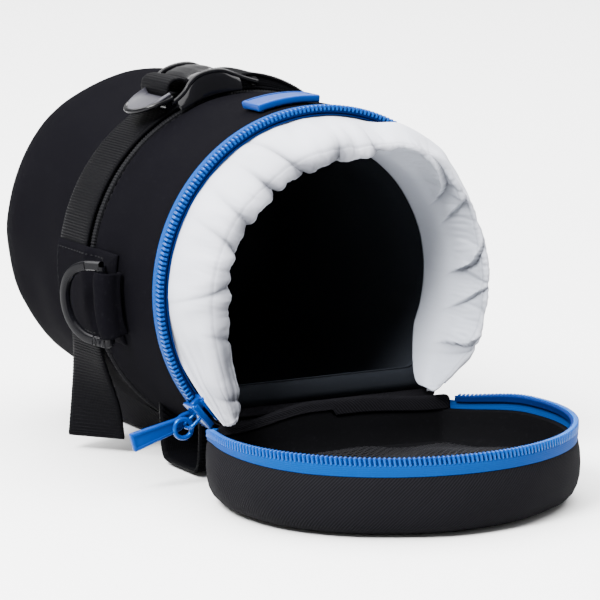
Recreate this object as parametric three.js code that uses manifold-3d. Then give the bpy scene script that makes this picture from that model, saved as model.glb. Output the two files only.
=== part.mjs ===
// Padded lens pouch lying on its back panel, with its zipped lid open flat in front of it.
// Millimetres, +Z up. The pouch's round axis runs along Y and its mouth faces -Y.
// The origin is the centre of the back panel's flat face, where the pouch rests.
import * as THREE from 'three';
import { mergeVertices } from 'three/addons/utils/BufferGeometryUtils.js';
import Module from 'manifold-3d';

const wasm = await Module();
wasm.setup();

// Driving dimensions
const bodyRadius = 68.5;
const bodyLength = 186;
const rearTaper = 2;
const rearRounding = 40;
const rearRise = 7;
const lidHeight = 30;
const hingeDrop = 6;
const padThickness = 9;
const fabricThickness = 1.5;
const liningThickness = 0.8;
const seatGap = 0.3;
const boolOverrun = 4;

// Zipper
const coilWidth = 2.8;
const coilDepth = 2.2;
const coilMeetingGap = 0.2;
const tapeWidth = 2.6;
const tapeThickness = 1;
const coilEndGap = 12.7;
const tapeEndGap = 6;
const zipSteps = 38;

// Slider and puller
const sliderLength = 13;
const sliderWidth = 8.4;
const sliderPlateThickness = 1.8;
const sliderRunningGap = 0.5;
const sliderPostLength = 3;
const collarClearance = 1;
const crownRise = 5.2;
const crownBarThickness = 1.4;
const crownWidth = 7;
const pullRingRadius = 3.6;
const pullRingWire = 1.9;
const pullerLength = 21.5;
const pullerWidth = 7;
const pullerThickness = 3;
const pullerSeatDepth = 0.75;
const pullerCrownGap = 0.5;
const pullerSideShift = 1;
const pullerAngle = 25;

// Seam, webbing and rings
const seamDistance = 65;
const seamWidth = 3;
const seamRise = 0.9;
const webbingWidth = 25;
const webbingThickness = 1.5;
const strapSteps = 22;
const tabLength = 54;
const tabWidth = 36;
const tabThickness = 1.4;
const tabDropHeight = 6;
const tabRollSize = 8.6;
const ringWire = 4;
const ringInnerWidth = 26.4;
const ringDepth = 23;
const ringRunningGap = 0.6;
const ringLiftAngle = 18;
const ringBowShare = 0.75;
const tailLength = 44;
const tailTwistAngle = 34;
const tailSwing = -1.5;
const tailTurnStartShare = 0.35;

// Buckle on the strap
const buckleLength = 46;
const buckleWidth = 34;
const buckleThickness = 3.6;
const buckleAngle = 105;
const buckleBulgeRise = 6;
const thumbTabLength = 15;
const thumbTabWidth = 21;
const thumbTabThickness = 2;
const thumbTabStartShare = 0.6;
const buckleSlotWidth = 5;
const buckleBarWidth = 5;
const buckleEndShare = 0.65;
const buckleProfileShares = [[-1, 0], [-0.75, 0], [-0.3, 0.9], [0.1, 0.7], [0.4, 0], [buckleEndShare, 0]];
const buckleEndWidthShare = 0.86;
const buckleHollowShare = 0.6;
const buckleChamferShare = 0.35;
const buckleSlotClearance = 0.6;
const loopInset = 2;
const loopOverRise = 0.8;

// Badge, collar and hinge
const badgeLength = 26;
const badgeWidth = 15;
const badgeThickness = 3;
const badgeAngle = 95;
const badgeSetback = 8;
const collarReach = 18;
const collarRootDepth = 2.8;
const collarInset = 14;
const collarHem = 4.6;
const collarHemCornerShare = 0.25;
const collarEndGap = 10.9;
const hingeEndGap = 4.4;
const hingeLeafGap = 0.6;
const hingeLeafThickness = 1;

// Lid interior
const lidPanelThickness = 2.6;
const lidRounding = 5;
const lidRoundingShare = 0.4;
const lidPanelEdge = 4;
const lidPanelEdgeShare = 0.3;
const lidPocketInset = 1.5;
const lidFoamThickness = 4;
const pocketThickness = 0.9;
const pocketHeightShare = 0.62;

// Back panel and belt loops
const panelWidth = 60;
const panelLength = 100;
const panelStart = 50;
const panelEdge = 2;
const panelCentreThickness = 3.7;
const loopSetIn = 20.5;
const loopStart = 12;
const loopSpan = 35;
const loopCorner = 5;

// Underside of the front shell, which falls from the hinge to the round body
const slopeLength = 38;
const slopeShares = [0, 0.06, 0.28, 0.62, 0.9, 1];

// Facets round the body
const aroundCount = 48;
const degree = Math.PI / 180;

// Worked-out places
const axisHeight = panelCentreThickness + seatGap + bodyRadius;
const hingeHeight = lidHeight - hingeDrop;
const rearRadius = bodyRadius - rearTaper;
const zipDepth = coilMeetingGap + coilWidth + seatGap + tapeWidth + seatGap;
const shellInner = bodyRadius - fabricThickness;
const foamOuter = shellInner - seatGap;
const foamInner = foamOuter - padThickness;
const liningOuter = foamInner - seatGap;
const liningInner = liningOuter - liningThickness;
const belowAxis = axisHeight - hingeHeight;
const chordAngle = Math.asin(belowAxis / bodyRadius) / degree;
const coilTrimAngle = chordAngle - coilEndGap / bodyRadius / degree;
const tapeTrimAngle = chordAngle - tapeEndGap / bodyRadius / degree;
const collarEndAngle = chordAngle - collarEndGap / bodyRadius / degree;
const sliderParkAngle = tapeTrimAngle;
const hingeLeafWidth = 2 * (bodyRadius * Math.cos(chordAngle * degree) - hingeEndGap);
const slopeEnd = zipDepth + slopeLength;
const tapeRadius = bodyRadius - fabricThickness / 2 + tapeThickness / 2;
const coilOuter = bodyRadius - fabricThickness / 2 + coilDepth / 2;
const coilInner = coilOuter - coilDepth;
const strapInner = bodyRadius + seatGap;
const strapOuter = strapInner + webbingThickness;
const strapFront = seamDistance + seamWidth / 2 + seatGap;
const strapRear = strapFront + webbingWidth;
const strapMiddle = (strapFront + strapRear) / 2;
const riseStart = strapRear + seatGap;
const originSetback = panelStart + panelLength / 2;

// Pouch group, with y = 0 in the plane where the two zipper coils meet
const pouch = new THREE.Group();
pouch.position.set(0, -originSetback, 0);

// Lid group: modelled closed, then turned down about the hinge line to lie open.
// The hinge line is under the lid's edge, as far in front of the mouth as it is below the open lid's rim.
const lid = new THREE.Group();
lid.position.set(0, -hingeDrop, hingeHeight);
lid.rotation.x = Math.PI / 2;
const lidShift = new THREE.Matrix4().makeTranslation(0, hingeDrop, -hingeHeight);

function paint(colour, roughness, metalness = 0) {
  return new THREE.MeshStandardMaterial({ color: colour, roughness, metalness });
}

const black = 0x212124;
const webbingBlack = 0x18181a;
const blue = 0x1c74e4;
const paleGrey = 0xe0e3ea;
const darkGrey = 0x4a5058;
const plasticBlack = 0x2c2d31;

function addPiece(group, name, geometry, material) {
  const mesh = new THREE.Mesh(geometry, material);
  mesh.name = name;
  group.add(mesh);
  return mesh;
}

// Closed solid through a row of matching outlines, joined end to end or capped.
// Each four-sided facet is cut the same way along y, so that nested walls stay parallel.
function loft(outlines, closed) {
  const size = outlines[0].length;
  const points = outlines.flat();
  const triangles = [];
  const rows = closed ? outlines.length : outlines.length - 1;
  for (let row = 0; row < rows; row += 1) {
    const here = row * size;
    const next = ((row + 1) % outlines.length) * size;
    for (let i = 0; i < size; i += 1) {
      const j = (i + 1) % size;
      if (points[here + i].y <= points[here + j].y) {
        triangles.push([here + i, here + j, next + j], [here + i, next + j, next + i]);
      } else {
        triangles.push([here + i, here + j, next + i], [here + j, next + j, next + i]);
      }
    }
  }
  if (!closed) {
    capEnd(outlines[0], 0, true, triangles);
    capEnd(outlines[outlines.length - 1], points.length - size, false, triangles);
  }
  return closedGeometry(points, triangles);
}

// Flat cap over one end outline, cut into triangles in the outline's own plane
function capEnd(outline, offset, reversed, triangles) {
  const normal = new THREE.Vector3();
  for (let i = 0; i < outline.length; i += 1) {
    const a = outline[i];
    const b = outline[(i + 1) % outline.length];
    normal.add(new THREE.Vector3().crossVectors(a, b));
  }
  normal.normalize();
  const side = Math.abs(normal.z) < 0.9 ? new THREE.Vector3(0, 0, 1) : new THREE.Vector3(1, 0, 0);
  const u = new THREE.Vector3().crossVectors(side, normal).normalize();
  const v = new THREE.Vector3().crossVectors(normal, u);
  const flat = outline.map((p) => new THREE.Vector2(p.dot(u), p.dot(v)));
  for (const [a, b, c] of THREE.ShapeUtils.triangulateShape(flat, [])) {
    triangles.push(reversed ? [offset + a, offset + c, offset + b] : [offset + a, offset + b, offset + c]);
  }
}

// Indexed geometry without collapsed triangles, turned so that its faces point out
function closedGeometry(points, triangles) {
  const area = new THREE.Vector3();
  const kept = triangles.filter(([a, b, c]) => {
    area.crossVectors(
      points[b].clone().sub(points[a]),
      points[c].clone().sub(points[a]),
    );
    return area.length() > 0;
  });
  let volume = 0;
  for (const [a, b, c] of kept) {
    volume += points[a].dot(area.crossVectors(points[b], points[c]));
  }
  const index = kept.flatMap(([a, b, c]) => (volume < 0 ? [a, c, b] : [a, b, c]));
  const geometry = new THREE.BufferGeometry();
  geometry.setAttribute('position', new THREE.Float32BufferAttribute(points.flatMap((p) => [p.x, p.y, p.z]), 3));
  geometry.setIndex(index);
  return geometry;
}

function toManifold(geometry) {
  const bare = geometry.clone();
  bare.deleteAttribute('normal');
  bare.deleteAttribute('uv');
  const merged = mergeVertices(bare, 1e-5);
  return new wasm.Manifold(new wasm.Mesh({
    numProp: 3,
    vertProperties: new Float32Array(merged.attributes.position.array),
    triVerts: new Uint32Array(merged.index.array),
  }));
}

function fromManifold(solid) {
  const mesh = solid.getMesh();
  const geometry = new THREE.BufferGeometry();
  geometry.setAttribute('position', new THREE.Float32BufferAttribute(mesh.vertProperties, 3));
  geometry.setIndex(Array.from(mesh.triVerts));
  return geometry;
}

function box(x0, x1, y0, y1, z0, z1) {
  const geometry = new THREE.BoxGeometry(x1 - x0, y1 - y0, z1 - z0);
  return geometry.translate((x0 + x1) / 2, (y0 + y1) / 2, (z0 + z1) / 2);
}

// Height of the flat underside: level with the hinge at the mouth, then down past the round body
function flatLevel(y) {
  const last = slopeShares.length - 1;
  const place = THREE.MathUtils.clamp((y - zipDepth) / (slopeEnd - zipDepth), 0, 1) * last;
  const step = Math.min(Math.floor(place), last - 1);
  const share = THREE.MathUtils.lerp(slopeShares[step], slopeShares[step + 1], place - step);
  return hingeHeight - share * (hingeHeight - axisHeight + bodyRadius);
}

// Stations along the sloping underside that come after a starting place
function slopeStations(start) {
  const last = slopeShares.length - 1;
  const stations = slopeShares.map((_, k) => THREE.MathUtils.lerp(zipDepth, slopeEnd, k / last));
  return [start, ...stations.filter((y) => y > start + seatGap)];
}

// How far the axis rises behind the straps: the pouch lies with its mouth a little lower
function axisRise(y) {
  return rearRise * THREE.MathUtils.clamp((y - riseStart) / (bodyLength - riseStart), 0, 1);
}

// Point of the pouch wall: a circle about the axis, cut flat below
function wallPoint(radius, angle, y) {
  const x = radius * Math.cos(angle * degree);
  const z = axisHeight + axisRise(y) + radius * Math.sin(angle * degree);
  return new THREE.Vector3(x, y, Math.max(z, flatLevel(y) + bodyRadius - radius));
}

// Point on the round body, with no flat
function roundPoint(radius, angle, y) {
  const x = radius * Math.cos(angle * degree);
  return new THREE.Vector3(x, y, axisHeight + axisRise(y) + radius * Math.sin(angle * degree));
}

// Profile of [radius, y] pairs carried right round the body
function aroundBody(profile, place = wallPoint) {
  const outlines = [];
  for (let k = 0; k < aroundCount; k += 1) {
    const angle = (k * 360) / aroundCount;
    outlines.push(profile.map(([radius, y]) => place(radius, angle, y)));
  }
  return loft(outlines, true);
}

// Profile of [radius, y] pairs carried along part of the way round
function alongArc(profile, from, to, steps, place = roundPoint) {
  const outlines = [];
  for (let k = 0; k <= steps; k += 1) {
    const angle = from + ((to - from) * k) / steps;
    outlines.push(profile.map(([radius, y]) => place(radius, angle, y)));
  }
  return loft(outlines, false);
}

function band(inner, outer, y0, y1) {
  return [[inner, y0], [outer, y0], [outer, y1], [inner, y1]];
}

// Outer profile of the rounded rear end, offset inwards
function rearProfile(offset, start) {
  const steps = 6;
  const centreY = bodyLength - rearRounding;
  const riseRadius = THREE.MathUtils.mapLinear(riseStart, start, centreY, bodyRadius, rearRadius);
  const points = [[bodyRadius - offset, start], [riseRadius - offset, riseStart]];
  const centreRadius = rearRadius - rearRounding;
  const rounding = rearRounding - offset;
  for (let k = 0; k <= steps; k += 1) {
    const turn = ((k / steps) * Math.PI) / 2;
    points.push([centreRadius + rounding * Math.cos(turn), centreY + rounding * Math.sin(turn)]);
  }
  return points;
}

// Shells, padding and lining of the pouch
const fabricPaint = () => paint(black, 0.9);

function buildShells() {
  const stations = [...slopeStations(zipDepth), seamDistance - seatGap / 2];
  const frontProfile = [
    ...stations.map((y) => [bodyRadius, y]),
    ...stations.slice().reverse().map((y) => [shellInner, y]),
  ];
  addPiece(pouch, 'front_shell', aroundBody(frontProfile), fabricPaint());
  const rearStart = seamDistance + seatGap / 2;
  const rearOutline = [
    ...rearProfile(0, rearStart),
    [0, bodyLength],
    [0, bodyLength - fabricThickness],
    ...rearProfile(fabricThickness, rearStart).reverse(),
  ];
  addPiece(pouch, 'rear_shell', aroundBody(rearOutline), fabricPaint());
  const bindingProfile = band(
    bodyRadius + seatGap,
    bodyRadius + seatGap + seamRise,
    seamDistance - seamWidth / 2,
    seamDistance + seamWidth / 2,
  );
  addPiece(pouch, 'seam_binding', aroundBody(bindingProfile, roundPoint), paint(webbingBlack, 0.8));
}

function buildPadding() {
  const facingFront = zipDepth + seatGap;
  const foamFront = facingFront + liningThickness + seatGap;
  const stations = slopeStations(foamFront);
  const outerOffset = bodyRadius - foamOuter;
  const innerOffset = bodyRadius - foamInner;
  const foamProfile = [
    ...stations.map((y) => [foamOuter, y]),
    ...rearProfile(outerOffset, seamDistance),
    ...rearProfile(innerOffset, seamDistance).reverse(),
    ...stations.slice().reverse().map((y) => [foamInner, y]),
  ];
  addPiece(pouch, 'foam_sleeve', aroundBody(foamProfile), paint(0x3a3a3c, 1));
  const baseRadius = rearRadius - rearRounding - seatGap;
  const baseFoam = aroundBody([
    [0, bodyLength - innerOffset],
    [baseRadius, bodyLength - innerOffset],
    [baseRadius, bodyLength - outerOffset],
    [0, bodyLength - outerOffset],
  ]);
  addPiece(pouch, 'base_foam', baseFoam, paint(0x3a3a3c, 1));
  const liningOffset = bodyRadius - liningOuter;
  const cupOffset = liningOffset + liningThickness;
  const liningProfile = [
    ...stations.map((y) => [liningOuter, y]),
    ...rearProfile(liningOffset, seamDistance),
    [0, bodyLength - liningOffset],
    [0, bodyLength - cupOffset],
    ...rearProfile(cupOffset, seamDistance).reverse(),
    ...stations.slice().reverse().map((y) => [liningInner, y]),
  ];
  addPiece(pouch, 'inner_lining', aroundBody(liningProfile), paint(darkGrey, 0.85));
  const facingProfile = band(liningInner, shellInner - seatGap, facingFront, facingFront + liningThickness);
  addPiece(pouch, 'mouth_facing', aroundBody(facingProfile), paint(darkGrey, 0.85));
}

// Drawstring collar: leans in and forward from the mouth to a thick gathered hem
function buildCollar() {
  const rootOuter = coilInner - sliderRunningGap - sliderPlateThickness - collarClearance;
  const rootInner = rootOuter - collarRootDepth;
  const hemOuter = rootOuter - collarInset + collarHem / 2;
  const hemInner = hemOuter - collarHem;
  const hemCorner = collarHem * collarHemCornerShare;
  const profile = [
    [rootOuter, zipDepth],
    [rootInner, zipDepth],
    [hemInner, -collarReach + collarHem],
    [hemInner + hemCorner, -collarReach],
    [hemOuter - hemCorner, -collarReach],
    [hemOuter, -collarReach + collarHem - hemCorner],
  ];
  const collarSteps = 40;
  const geometry = alongArc(profile, -collarEndAngle, 180 + collarEndAngle, collarSteps);
  addPiece(pouch, 'drawstring_collar', geometry, paint(paleGrey, 0.75));
}

// One side of the zipper: tape and coil round the mouth, on the pouch or mirrored on the lid
function buildZipSide(group, prefix, side, shift) {
  const coilStart = coilMeetingGap;
  const coilEnd = coilStart + coilWidth;
  const tapeStart = coilEnd + seatGap;
  const tapeEnd = tapeStart + tapeWidth;
  const coil = alongArc(
    band(coilInner, coilOuter, side * coilStart, side * coilEnd),
    -coilTrimAngle,
    180 + coilTrimAngle,
    zipSteps,
  );
  const tape = alongArc(
    band(tapeRadius - tapeThickness, tapeRadius, side * tapeStart, side * tapeEnd),
    -tapeTrimAngle,
    180 + tapeTrimAngle,
    zipSteps,
  );
  addPiece(group, `${prefix}_zip_coil`, coil.applyMatrix4(shift), paint(blue, 0.45));
  addPiece(group, `${prefix}_zip_tape`, tape.applyMatrix4(shift), paint(blue, 0.7));
}

// Lid, in its closed place in front of the mouth
function buildLid() {
  const wallTurn = -(lidHeight - lidPanelThickness - lidRounding);
  const wallEnd = -(lidHeight - lidPanelThickness - seatGap);
  const wallProfile = [
    [bodyRadius, -zipDepth],
    [bodyRadius, wallTurn],
    [bodyRadius - lidRounding * lidRoundingShare, (wallTurn + wallEnd * 2) / 3],
    [bodyRadius - lidRounding, wallEnd],
    [bodyRadius - lidRounding - fabricThickness, wallEnd],
    [shellInner, wallTurn],
    [shellInner, -zipDepth],
  ];
  const place = lidPoint;
  const moved = (geometry) => geometry.applyMatrix4(lidShift);
  addPiece(lid, 'lid_wall', moved(aroundBody(wallProfile, place)), paint(black, 0.85));
  const panelRim = bodyRadius - lidRounding;
  const panelProfile = [
    [0, -lidHeight + lidPanelThickness],
    [panelRim, -lidHeight + lidPanelThickness],
    [panelRim - lidPanelEdge * lidPanelEdgeShare, -lidHeight + lidPanelThickness * lidPanelEdgeShare],
    [panelRim - lidPanelEdge, -lidHeight],
    [0, -lidHeight],
  ];
  addPiece(lid, 'lid_panel', moved(aroundBody(panelProfile, place)), paint(black, 0.85));
  const foamRim = panelRim - fabricThickness - seatGap;
  const foamBack = -(lidHeight - lidPanelThickness - seatGap);
  const foamFront = foamBack + lidFoamThickness;
  const foamProfile = [[0, foamFront], [foamRim, foamFront], [foamRim, foamBack], [0, foamBack]];
  addPiece(lid, 'lid_foam', moved(aroundBody(foamProfile, place)), paint(0x3a3a3c, 1));
  const liningRim = shellInner - seatGap;
  const liningBack = foamFront + seatGap;
  const liningFloor = liningBack + liningThickness;
  const liningProfile = [
    [0, liningBack],
    [foamRim, liningBack],
    [liningRim, liningFloor + fabricThickness],
    [liningRim, -zipDepth],
    [liningRim - liningThickness, -zipDepth],
    [liningRim - liningThickness, liningFloor + fabricThickness],
    [foamRim - liningThickness, liningFloor],
    [0, liningFloor],
  ];
  addPiece(lid, 'lid_lining', moved(aroundBody(liningProfile, place)), paint(webbingBlack, 0.85));
  const pocketRim = foamRim - liningThickness - lidPocketInset;
  const pocketBack = liningFloor + seatGap;
  const pocketFront = pocketBack + pocketThickness;
  const pocketDisc = toManifold(aroundBody([
    [0, pocketFront],
    [pocketRim, pocketFront],
    [pocketRim, pocketBack],
    [0, pocketBack],
  ], place));
  const pocketTop = hingeHeight + 2 * belowAxis * pocketHeightShare;
  const above = box(
    -bodyRadius - boolOverrun,
    bodyRadius + boolOverrun,
    pocketBack - boolOverrun,
    pocketFront + boolOverrun,
    pocketTop,
    axisHeight + bodyRadius + boolOverrun,
  );
  const pocket = fromManifold(pocketDisc.subtract(toManifold(above)));
  addPiece(lid, 'mesh_pocket', moved(pocket), paint(webbingBlack, 0.9));
  buildZipSide(lid, 'lid', -1, lidShift);
}

// Point of the lid's wall: the same circle, cut flat at the hinge all the way
function lidPoint(radius, angle, y) {
  const point = roundPoint(radius, angle, y);
  point.z = Math.max(point.z, hingeHeight + bodyRadius - radius);
  return point;
}

// Fabric hinge: one folded strip, as a leaf on the pouch that reaches to the hinge line and a leaf on the lid
function buildHinge() {
  const half = hingeLeafWidth / 2;
  const low = hingeHeight - hingeLeafThickness / 2;
  const high = hingeHeight + hingeLeafThickness / 2;
  const far = zipDepth - seatGap;
  const reachTop = low - seatGap;
  const reachLow = reachTop - hingeLeafThickness;
  const rim = toManifold(box(-half, half, hingeLeafGap, far, reachLow, high));
  const reach = toManifold(box(-half, half, seatGap - hingeDrop, far, reachLow, reachTop));
  addPiece(pouch, 'hinge_leaf_pouch', fromManifold(rim.add(reach)), fabricPaint());
  const lidLeaf = box(-half, half, -far, -hingeLeafGap, low, high).applyMatrix4(lidShift);
  addPiece(lid, 'hinge_leaf_lid', lidLeaf, fabricPaint());
}

// Group whose x runs outwards and whose z runs along the edge, at an angle round the axis
function radialGroup(parent, angle, y = 0) {
  const group = new THREE.Group();
  group.position.set(0, y, axisHeight);
  group.rotation.y = -angle * degree;
  parent.add(group);
  return group;
}

// Slider: two plates round the coils, a post between them and a crown for the ring
function buildSlider() {
  const group = radialGroup(pouch, 180 + sliderParkAngle);
  const halfLength = sliderLength / 2;
  const halfWidth = sliderWidth / 2;
  const topInner = coilOuter + sliderRunningGap;
  const topOuter = topInner + sliderPlateThickness;
  const bottomOuter = coilInner - sliderRunningGap;
  const bottomInner = bottomOuter - sliderPlateThickness;
  const crownOuter = topOuter + crownRise + crownBarThickness / 2;
  const crownInner = crownOuter - crownBarThickness;
  const crownHalf = crownWidth / 2;
  const barHalf = crownBarThickness / 2;
  const postHalf = sliderPostLength / 2;
  const solids = [
    box(topInner, topOuter, -halfWidth, halfWidth, -halfLength, halfLength),
    box(bottomInner, bottomOuter, -halfWidth, halfWidth, -halfLength, halfLength),
    box(bottomInner, topOuter, -coilMeetingGap - coilWidth, -coilMeetingGap, -postHalf, postHalf),
    box(topInner, crownOuter, -crownHalf, -crownHalf + crownBarThickness, -barHalf, barHalf),
    box(topInner, crownOuter, crownHalf - crownBarThickness, crownHalf, -barHalf, barHalf),
    box(crownInner, crownOuter, -crownHalf, crownHalf, -barHalf, barHalf),
  ].map(toManifold);
  const slider = solids.reduce((a, b) => a.add(b));
  addPiece(group, 'zip_slider', fromManifold(slider), paint(blue, 0.35));
  buildPuller(group, topOuter + crownRise);
}

// Pull ring round the crown's bar, with the rubber tab seated on it
function buildPuller(group, pivotRadius) {
  const swing = new THREE.Group();
  swing.position.set(pivotRadius, 0, 0);
  swing.rotation.y = pullerAngle * degree;
  group.add(swing);
  const wireRadius = pullRingWire / 2;
  const ringOffset = pullRingRadius - wireRadius - crownBarThickness / 2 - seatGap;
  const ring = new THREE.TorusGeometry(pullRingRadius, wireRadius, 8, 24);
  ring.rotateX(Math.PI / 2).translate(ringOffset, 0, 0);
  addPiece(swing, 'pull_ring', ring, paint(blue, 0.3));
  const groove = new THREE.TorusGeometry(pullRingRadius, wireRadius + seatGap, 8, 24);
  groove.rotateX(Math.PI / 2).translate(ringOffset, 0, 0);
  const tabStart = crownBarThickness / 2 + pullerCrownGap;
  const tabSide = wireRadius - pullerSeatDepth;
  const tab = toManifold(box(
    tabStart,
    tabStart + pullerLength,
    tabSide,
    tabSide + pullerThickness,
    pullerSideShift - pullerWidth / 2,
    pullerSideShift + pullerWidth / 2,
  ));
  addPiece(swing, 'puller_tab', fromManifold(tab.subtract(toManifold(groove))), paint(blue, 0.5));
}

// Straps that run over the body from the ring tabs to the buckle
function buildStraps() {
  const halfSpan = (buckleLength / 2 / bodyRadius) / degree;
  const lowAngle = (tabDropHeight / bodyRadius) / degree;
  const strapProfile = band(strapInner, strapOuter, strapFront, strapRear);
  const gapAngle = (seatGap / bodyRadius) / degree;
  const nearEnd = buckleAngle + halfSpan - (buckleSlotWidth / bodyRadius) / degree;
  const tabFoot = 180 + lowAngle + ((tabWidth / 2 + webbingThickness) / bodyRadius) / degree;
  const left = alongArc(strapProfile, nearEnd, tabFoot, strapSteps);
  addPiece(pouch, 'strap_left', left, paint(webbingBlack, 0.8));
  const far = alongArc(strapProfile, -lowAngle, buckleAngle - halfSpan - gapAngle, strapSteps);
  addPiece(pouch, 'strap_right', far, paint(webbingBlack, 0.8));
  buildTail(tabFoot + gapAngle * 2);
}

// Free end of the left strap, hanging off the body and turning as it falls
function buildTail(startAngle) {
  const outlines = [];
  const steps = 10;
  const top = roundPoint(strapInner, startAngle, 0);
  for (let k = 0; k <= steps; k += 1) {
    const share = k / steps;
    const turn = -tailTwistAngle * degree * THREE.MathUtils.smoothstep(share, tailTurnStartShare, 1);
    const across = new THREE.Vector3(Math.sin(turn), Math.cos(turn), 0);
    const outward = new THREE.Vector3(-Math.cos(turn), Math.sin(turn), 0);
    const middle = new THREE.Vector3(top.x - tailSwing * share * share, strapMiddle, top.z - tailLength * share);
    const half = webbingWidth / 2;
    const corners = [[-half, 0], [half, 0], [half, webbingThickness], [-half, webbingThickness]];
    outlines.push(corners.map(([a, b]) => middle.clone().addScaledVector(across, a).addScaledVector(outward, b)));
  }
  addPiece(pouch, 'strap_tail', loft(outlines, false), paint(webbingBlack, 0.8));
}

// Ladder-lock buckle, built straight along the strap and set on the curve of the body
function buildBuckle() {
  const halfSpan = buckleLength / 2;
  const group = radialGroup(pouch, buckleAngle, strapMiddle);
  const base = strapOuter + seatGap;
  const half = buckleWidth / 2;
  const slotHalf = webbingWidth / 2 + buckleSlotClearance;
  const outlines = [];
  const chamfer = buckleThickness * buckleChamferShare;
  for (const [alongShare, riseShare] of buckleProfileShares) {
    const along = halfSpan * alongShare;
    const surface = Math.sqrt(base * base - along * along);
    const low = THREE.MathUtils.lerp(surface, base, riseShare > 0 ? buckleHollowShare : 0);
    const high = surface + buckleThickness + riseShare * buckleBulgeRise;
    const wide = half * (alongShare > -1 ? 1 : buckleEndWidthShare);
    outlines.push([
      new THREE.Vector3(low, -wide, along),
      new THREE.Vector3(high - chamfer, -wide, along),
      new THREE.Vector3(high, -wide + chamfer, along),
      new THREE.Vector3(high, wide - chamfer, along),
      new THREE.Vector3(high - chamfer, wide, along),
      new THREE.Vector3(low, wide, along),
    ]);
  }
  let frame = toManifold(loft(outlines, false));
  const reach = base + buckleThickness + buckleBulgeRise + boolOverrun;
  const barStart = halfSpan * buckleEndShare - buckleBarWidth;
  for (const start of [barStart - buckleSlotWidth, -halfSpan + buckleBarWidth]) {
    const slot = box(base - halfSpan, reach, -slotHalf, slotHalf, start, start + buckleSlotWidth);
    frame = frame.subtract(toManifold(slot));
  }
  const tabStart = halfSpan * thumbTabStartShare;
  const tabOutline = new THREE.Shape();
  tabOutline.moveTo(0, -half);
  tabOutline.lineTo(0, -half + thumbTabWidth);
  const tabHalf = thumbTabWidth / 2;
  tabOutline.absellipse(0, -half + tabHalf, thumbTabLength, tabHalf, Math.PI / 2, -Math.PI / 2, true);
  const tabSettings = { depth: thumbTabThickness, bevelEnabled: false, curveSegments: 12 };
  const tab = new THREE.ExtrudeGeometry(tabOutline, tabSettings);
  const toRadial = new THREE.Matrix4().makeBasis(
    new THREE.Vector3(0, 0, 1),
    new THREE.Vector3(0, 1, 0),
    new THREE.Vector3(-1, 0, 0),
  );
  tab.applyMatrix4(toRadial).translate(thumbTabThickness + seatGap, 0, 0);
  tab.rotateY(-Math.asin(tabStart / base)).translate(Math.sqrt(base * base - tabStart * tabStart), 0, tabStart);
  frame = frame.add(toManifold(tab)).subtract(toManifold(webbingLoop(seatGap)));
  addPiece(group, 'ladder_lock', fromManifold(frame), paint(plasticBlack, 0.3));
}

// Webbing folded round the buckle's left bar, as a strip through the slot and back over the bar
function webbingLoop(growth) {
  const base = strapOuter + seatGap;
  const barEnd = (buckleLength / 2) * buckleEndShare;
  const barStart = barEnd - buckleBarWidth;
  const over = base + buckleThickness + webbingThickness;
  const path = [
    [base + seatGap, barStart - loopInset],
    [over - webbingThickness / 2, barStart - loopInset],
    [over + loopOverRise, barStart],
    [over, barEnd - loopInset],
    [over - webbingThickness, barEnd + webbingThickness],
  ];
  const outline = ribbonOutline(path, webbingThickness + 2 * growth);
  const half = webbingWidth / 2 + growth;
  const outlines = [-half, half].map((y) => outline.map(([out, along]) => new THREE.Vector3(out, y, along)));
  return loft(outlines, false);
}

// Closed outline of a strip of some thickness that follows a path
function ribbonOutline(path, thickness) {
  const sides = [[], []];
  path.forEach(([a, b], i) => {
    const [a0, b0] = path[Math.max(i - 1, 0)];
    const [a1, b1] = path[Math.min(i + 1, path.length - 1)];
    const length = Math.hypot(a1 - a0, b1 - b0);
    const na = (-(b1 - b0) / length) * (thickness / 2);
    const nb = ((a1 - a0) / length) * (thickness / 2);
    sides[0].push([a + na, b + nb]);
    sides[1].unshift([a - na, b - nb]);
  });
  return [...sides[0], ...sides[1]];
}

function buildWebbingLoop() {
  const group = radialGroup(pouch, buckleAngle, strapMiddle);
  addPiece(group, 'webbing_loop', webbingLoop(0), paint(webbingBlack, 0.8));
}

// Ring tab on one side: a patch over the strap with a rolled front edge that holds the ring
function buildRingTab(side) {
  const name = side < 0 ? 'left' : 'right';
  const halfAngle = (tabWidth / 2 / bodyRadius) / degree;
  const middle = side < 0 ? 180 + (tabDropHeight / bodyRadius) / degree : -(tabDropHeight / bodyRadius) / degree;
  const patchInner = strapOuter + seatGap;
  const patchOuter = patchInner + tabThickness;
  const patchFront = strapRear - tabLength;
  const patch = toManifold(alongArc(
    band(patchInner, patchOuter, patchFront, strapRear),
    middle - halfAngle,
    middle + halfAngle,
    8,
  ));
  const pivotRadius = patchOuter + ringRunningGap + ringWire / 2;
  const pivotY = patchFront;
  const centre = roundPoint(pivotRadius, middle, pivotY);
  const tubeHalf = tabRollSize / 2;
  const tubeLow = patchInner - pivotRadius;
  const tubeWidth = ringInnerWidth / 2 - ringRunningGap;
  const tube = toManifold(box(tubeLow, tubeHalf, -tubeHalf, tubeHalf, -tubeWidth, tubeWidth)
    .rotateY(-middle * degree)
    .translate(centre.x, centre.y, centre.z));
  const boreRadius = ringWire / 2 + ringRunningGap;
  const bore = new THREE.CylinderGeometry(boreRadius, boreRadius, tabWidth, 16);
  bore.rotateX(Math.PI / 2).rotateY(-middle * degree).translate(centre.x, centre.y, centre.z);
  const tab = patch.add(tube).subtract(toManifold(bore));
  addPiece(pouch, `ring_tab_${name}`, fromManifold(tab), paint(black, 0.9));
  buildRing(name, middle, centre);
}

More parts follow.
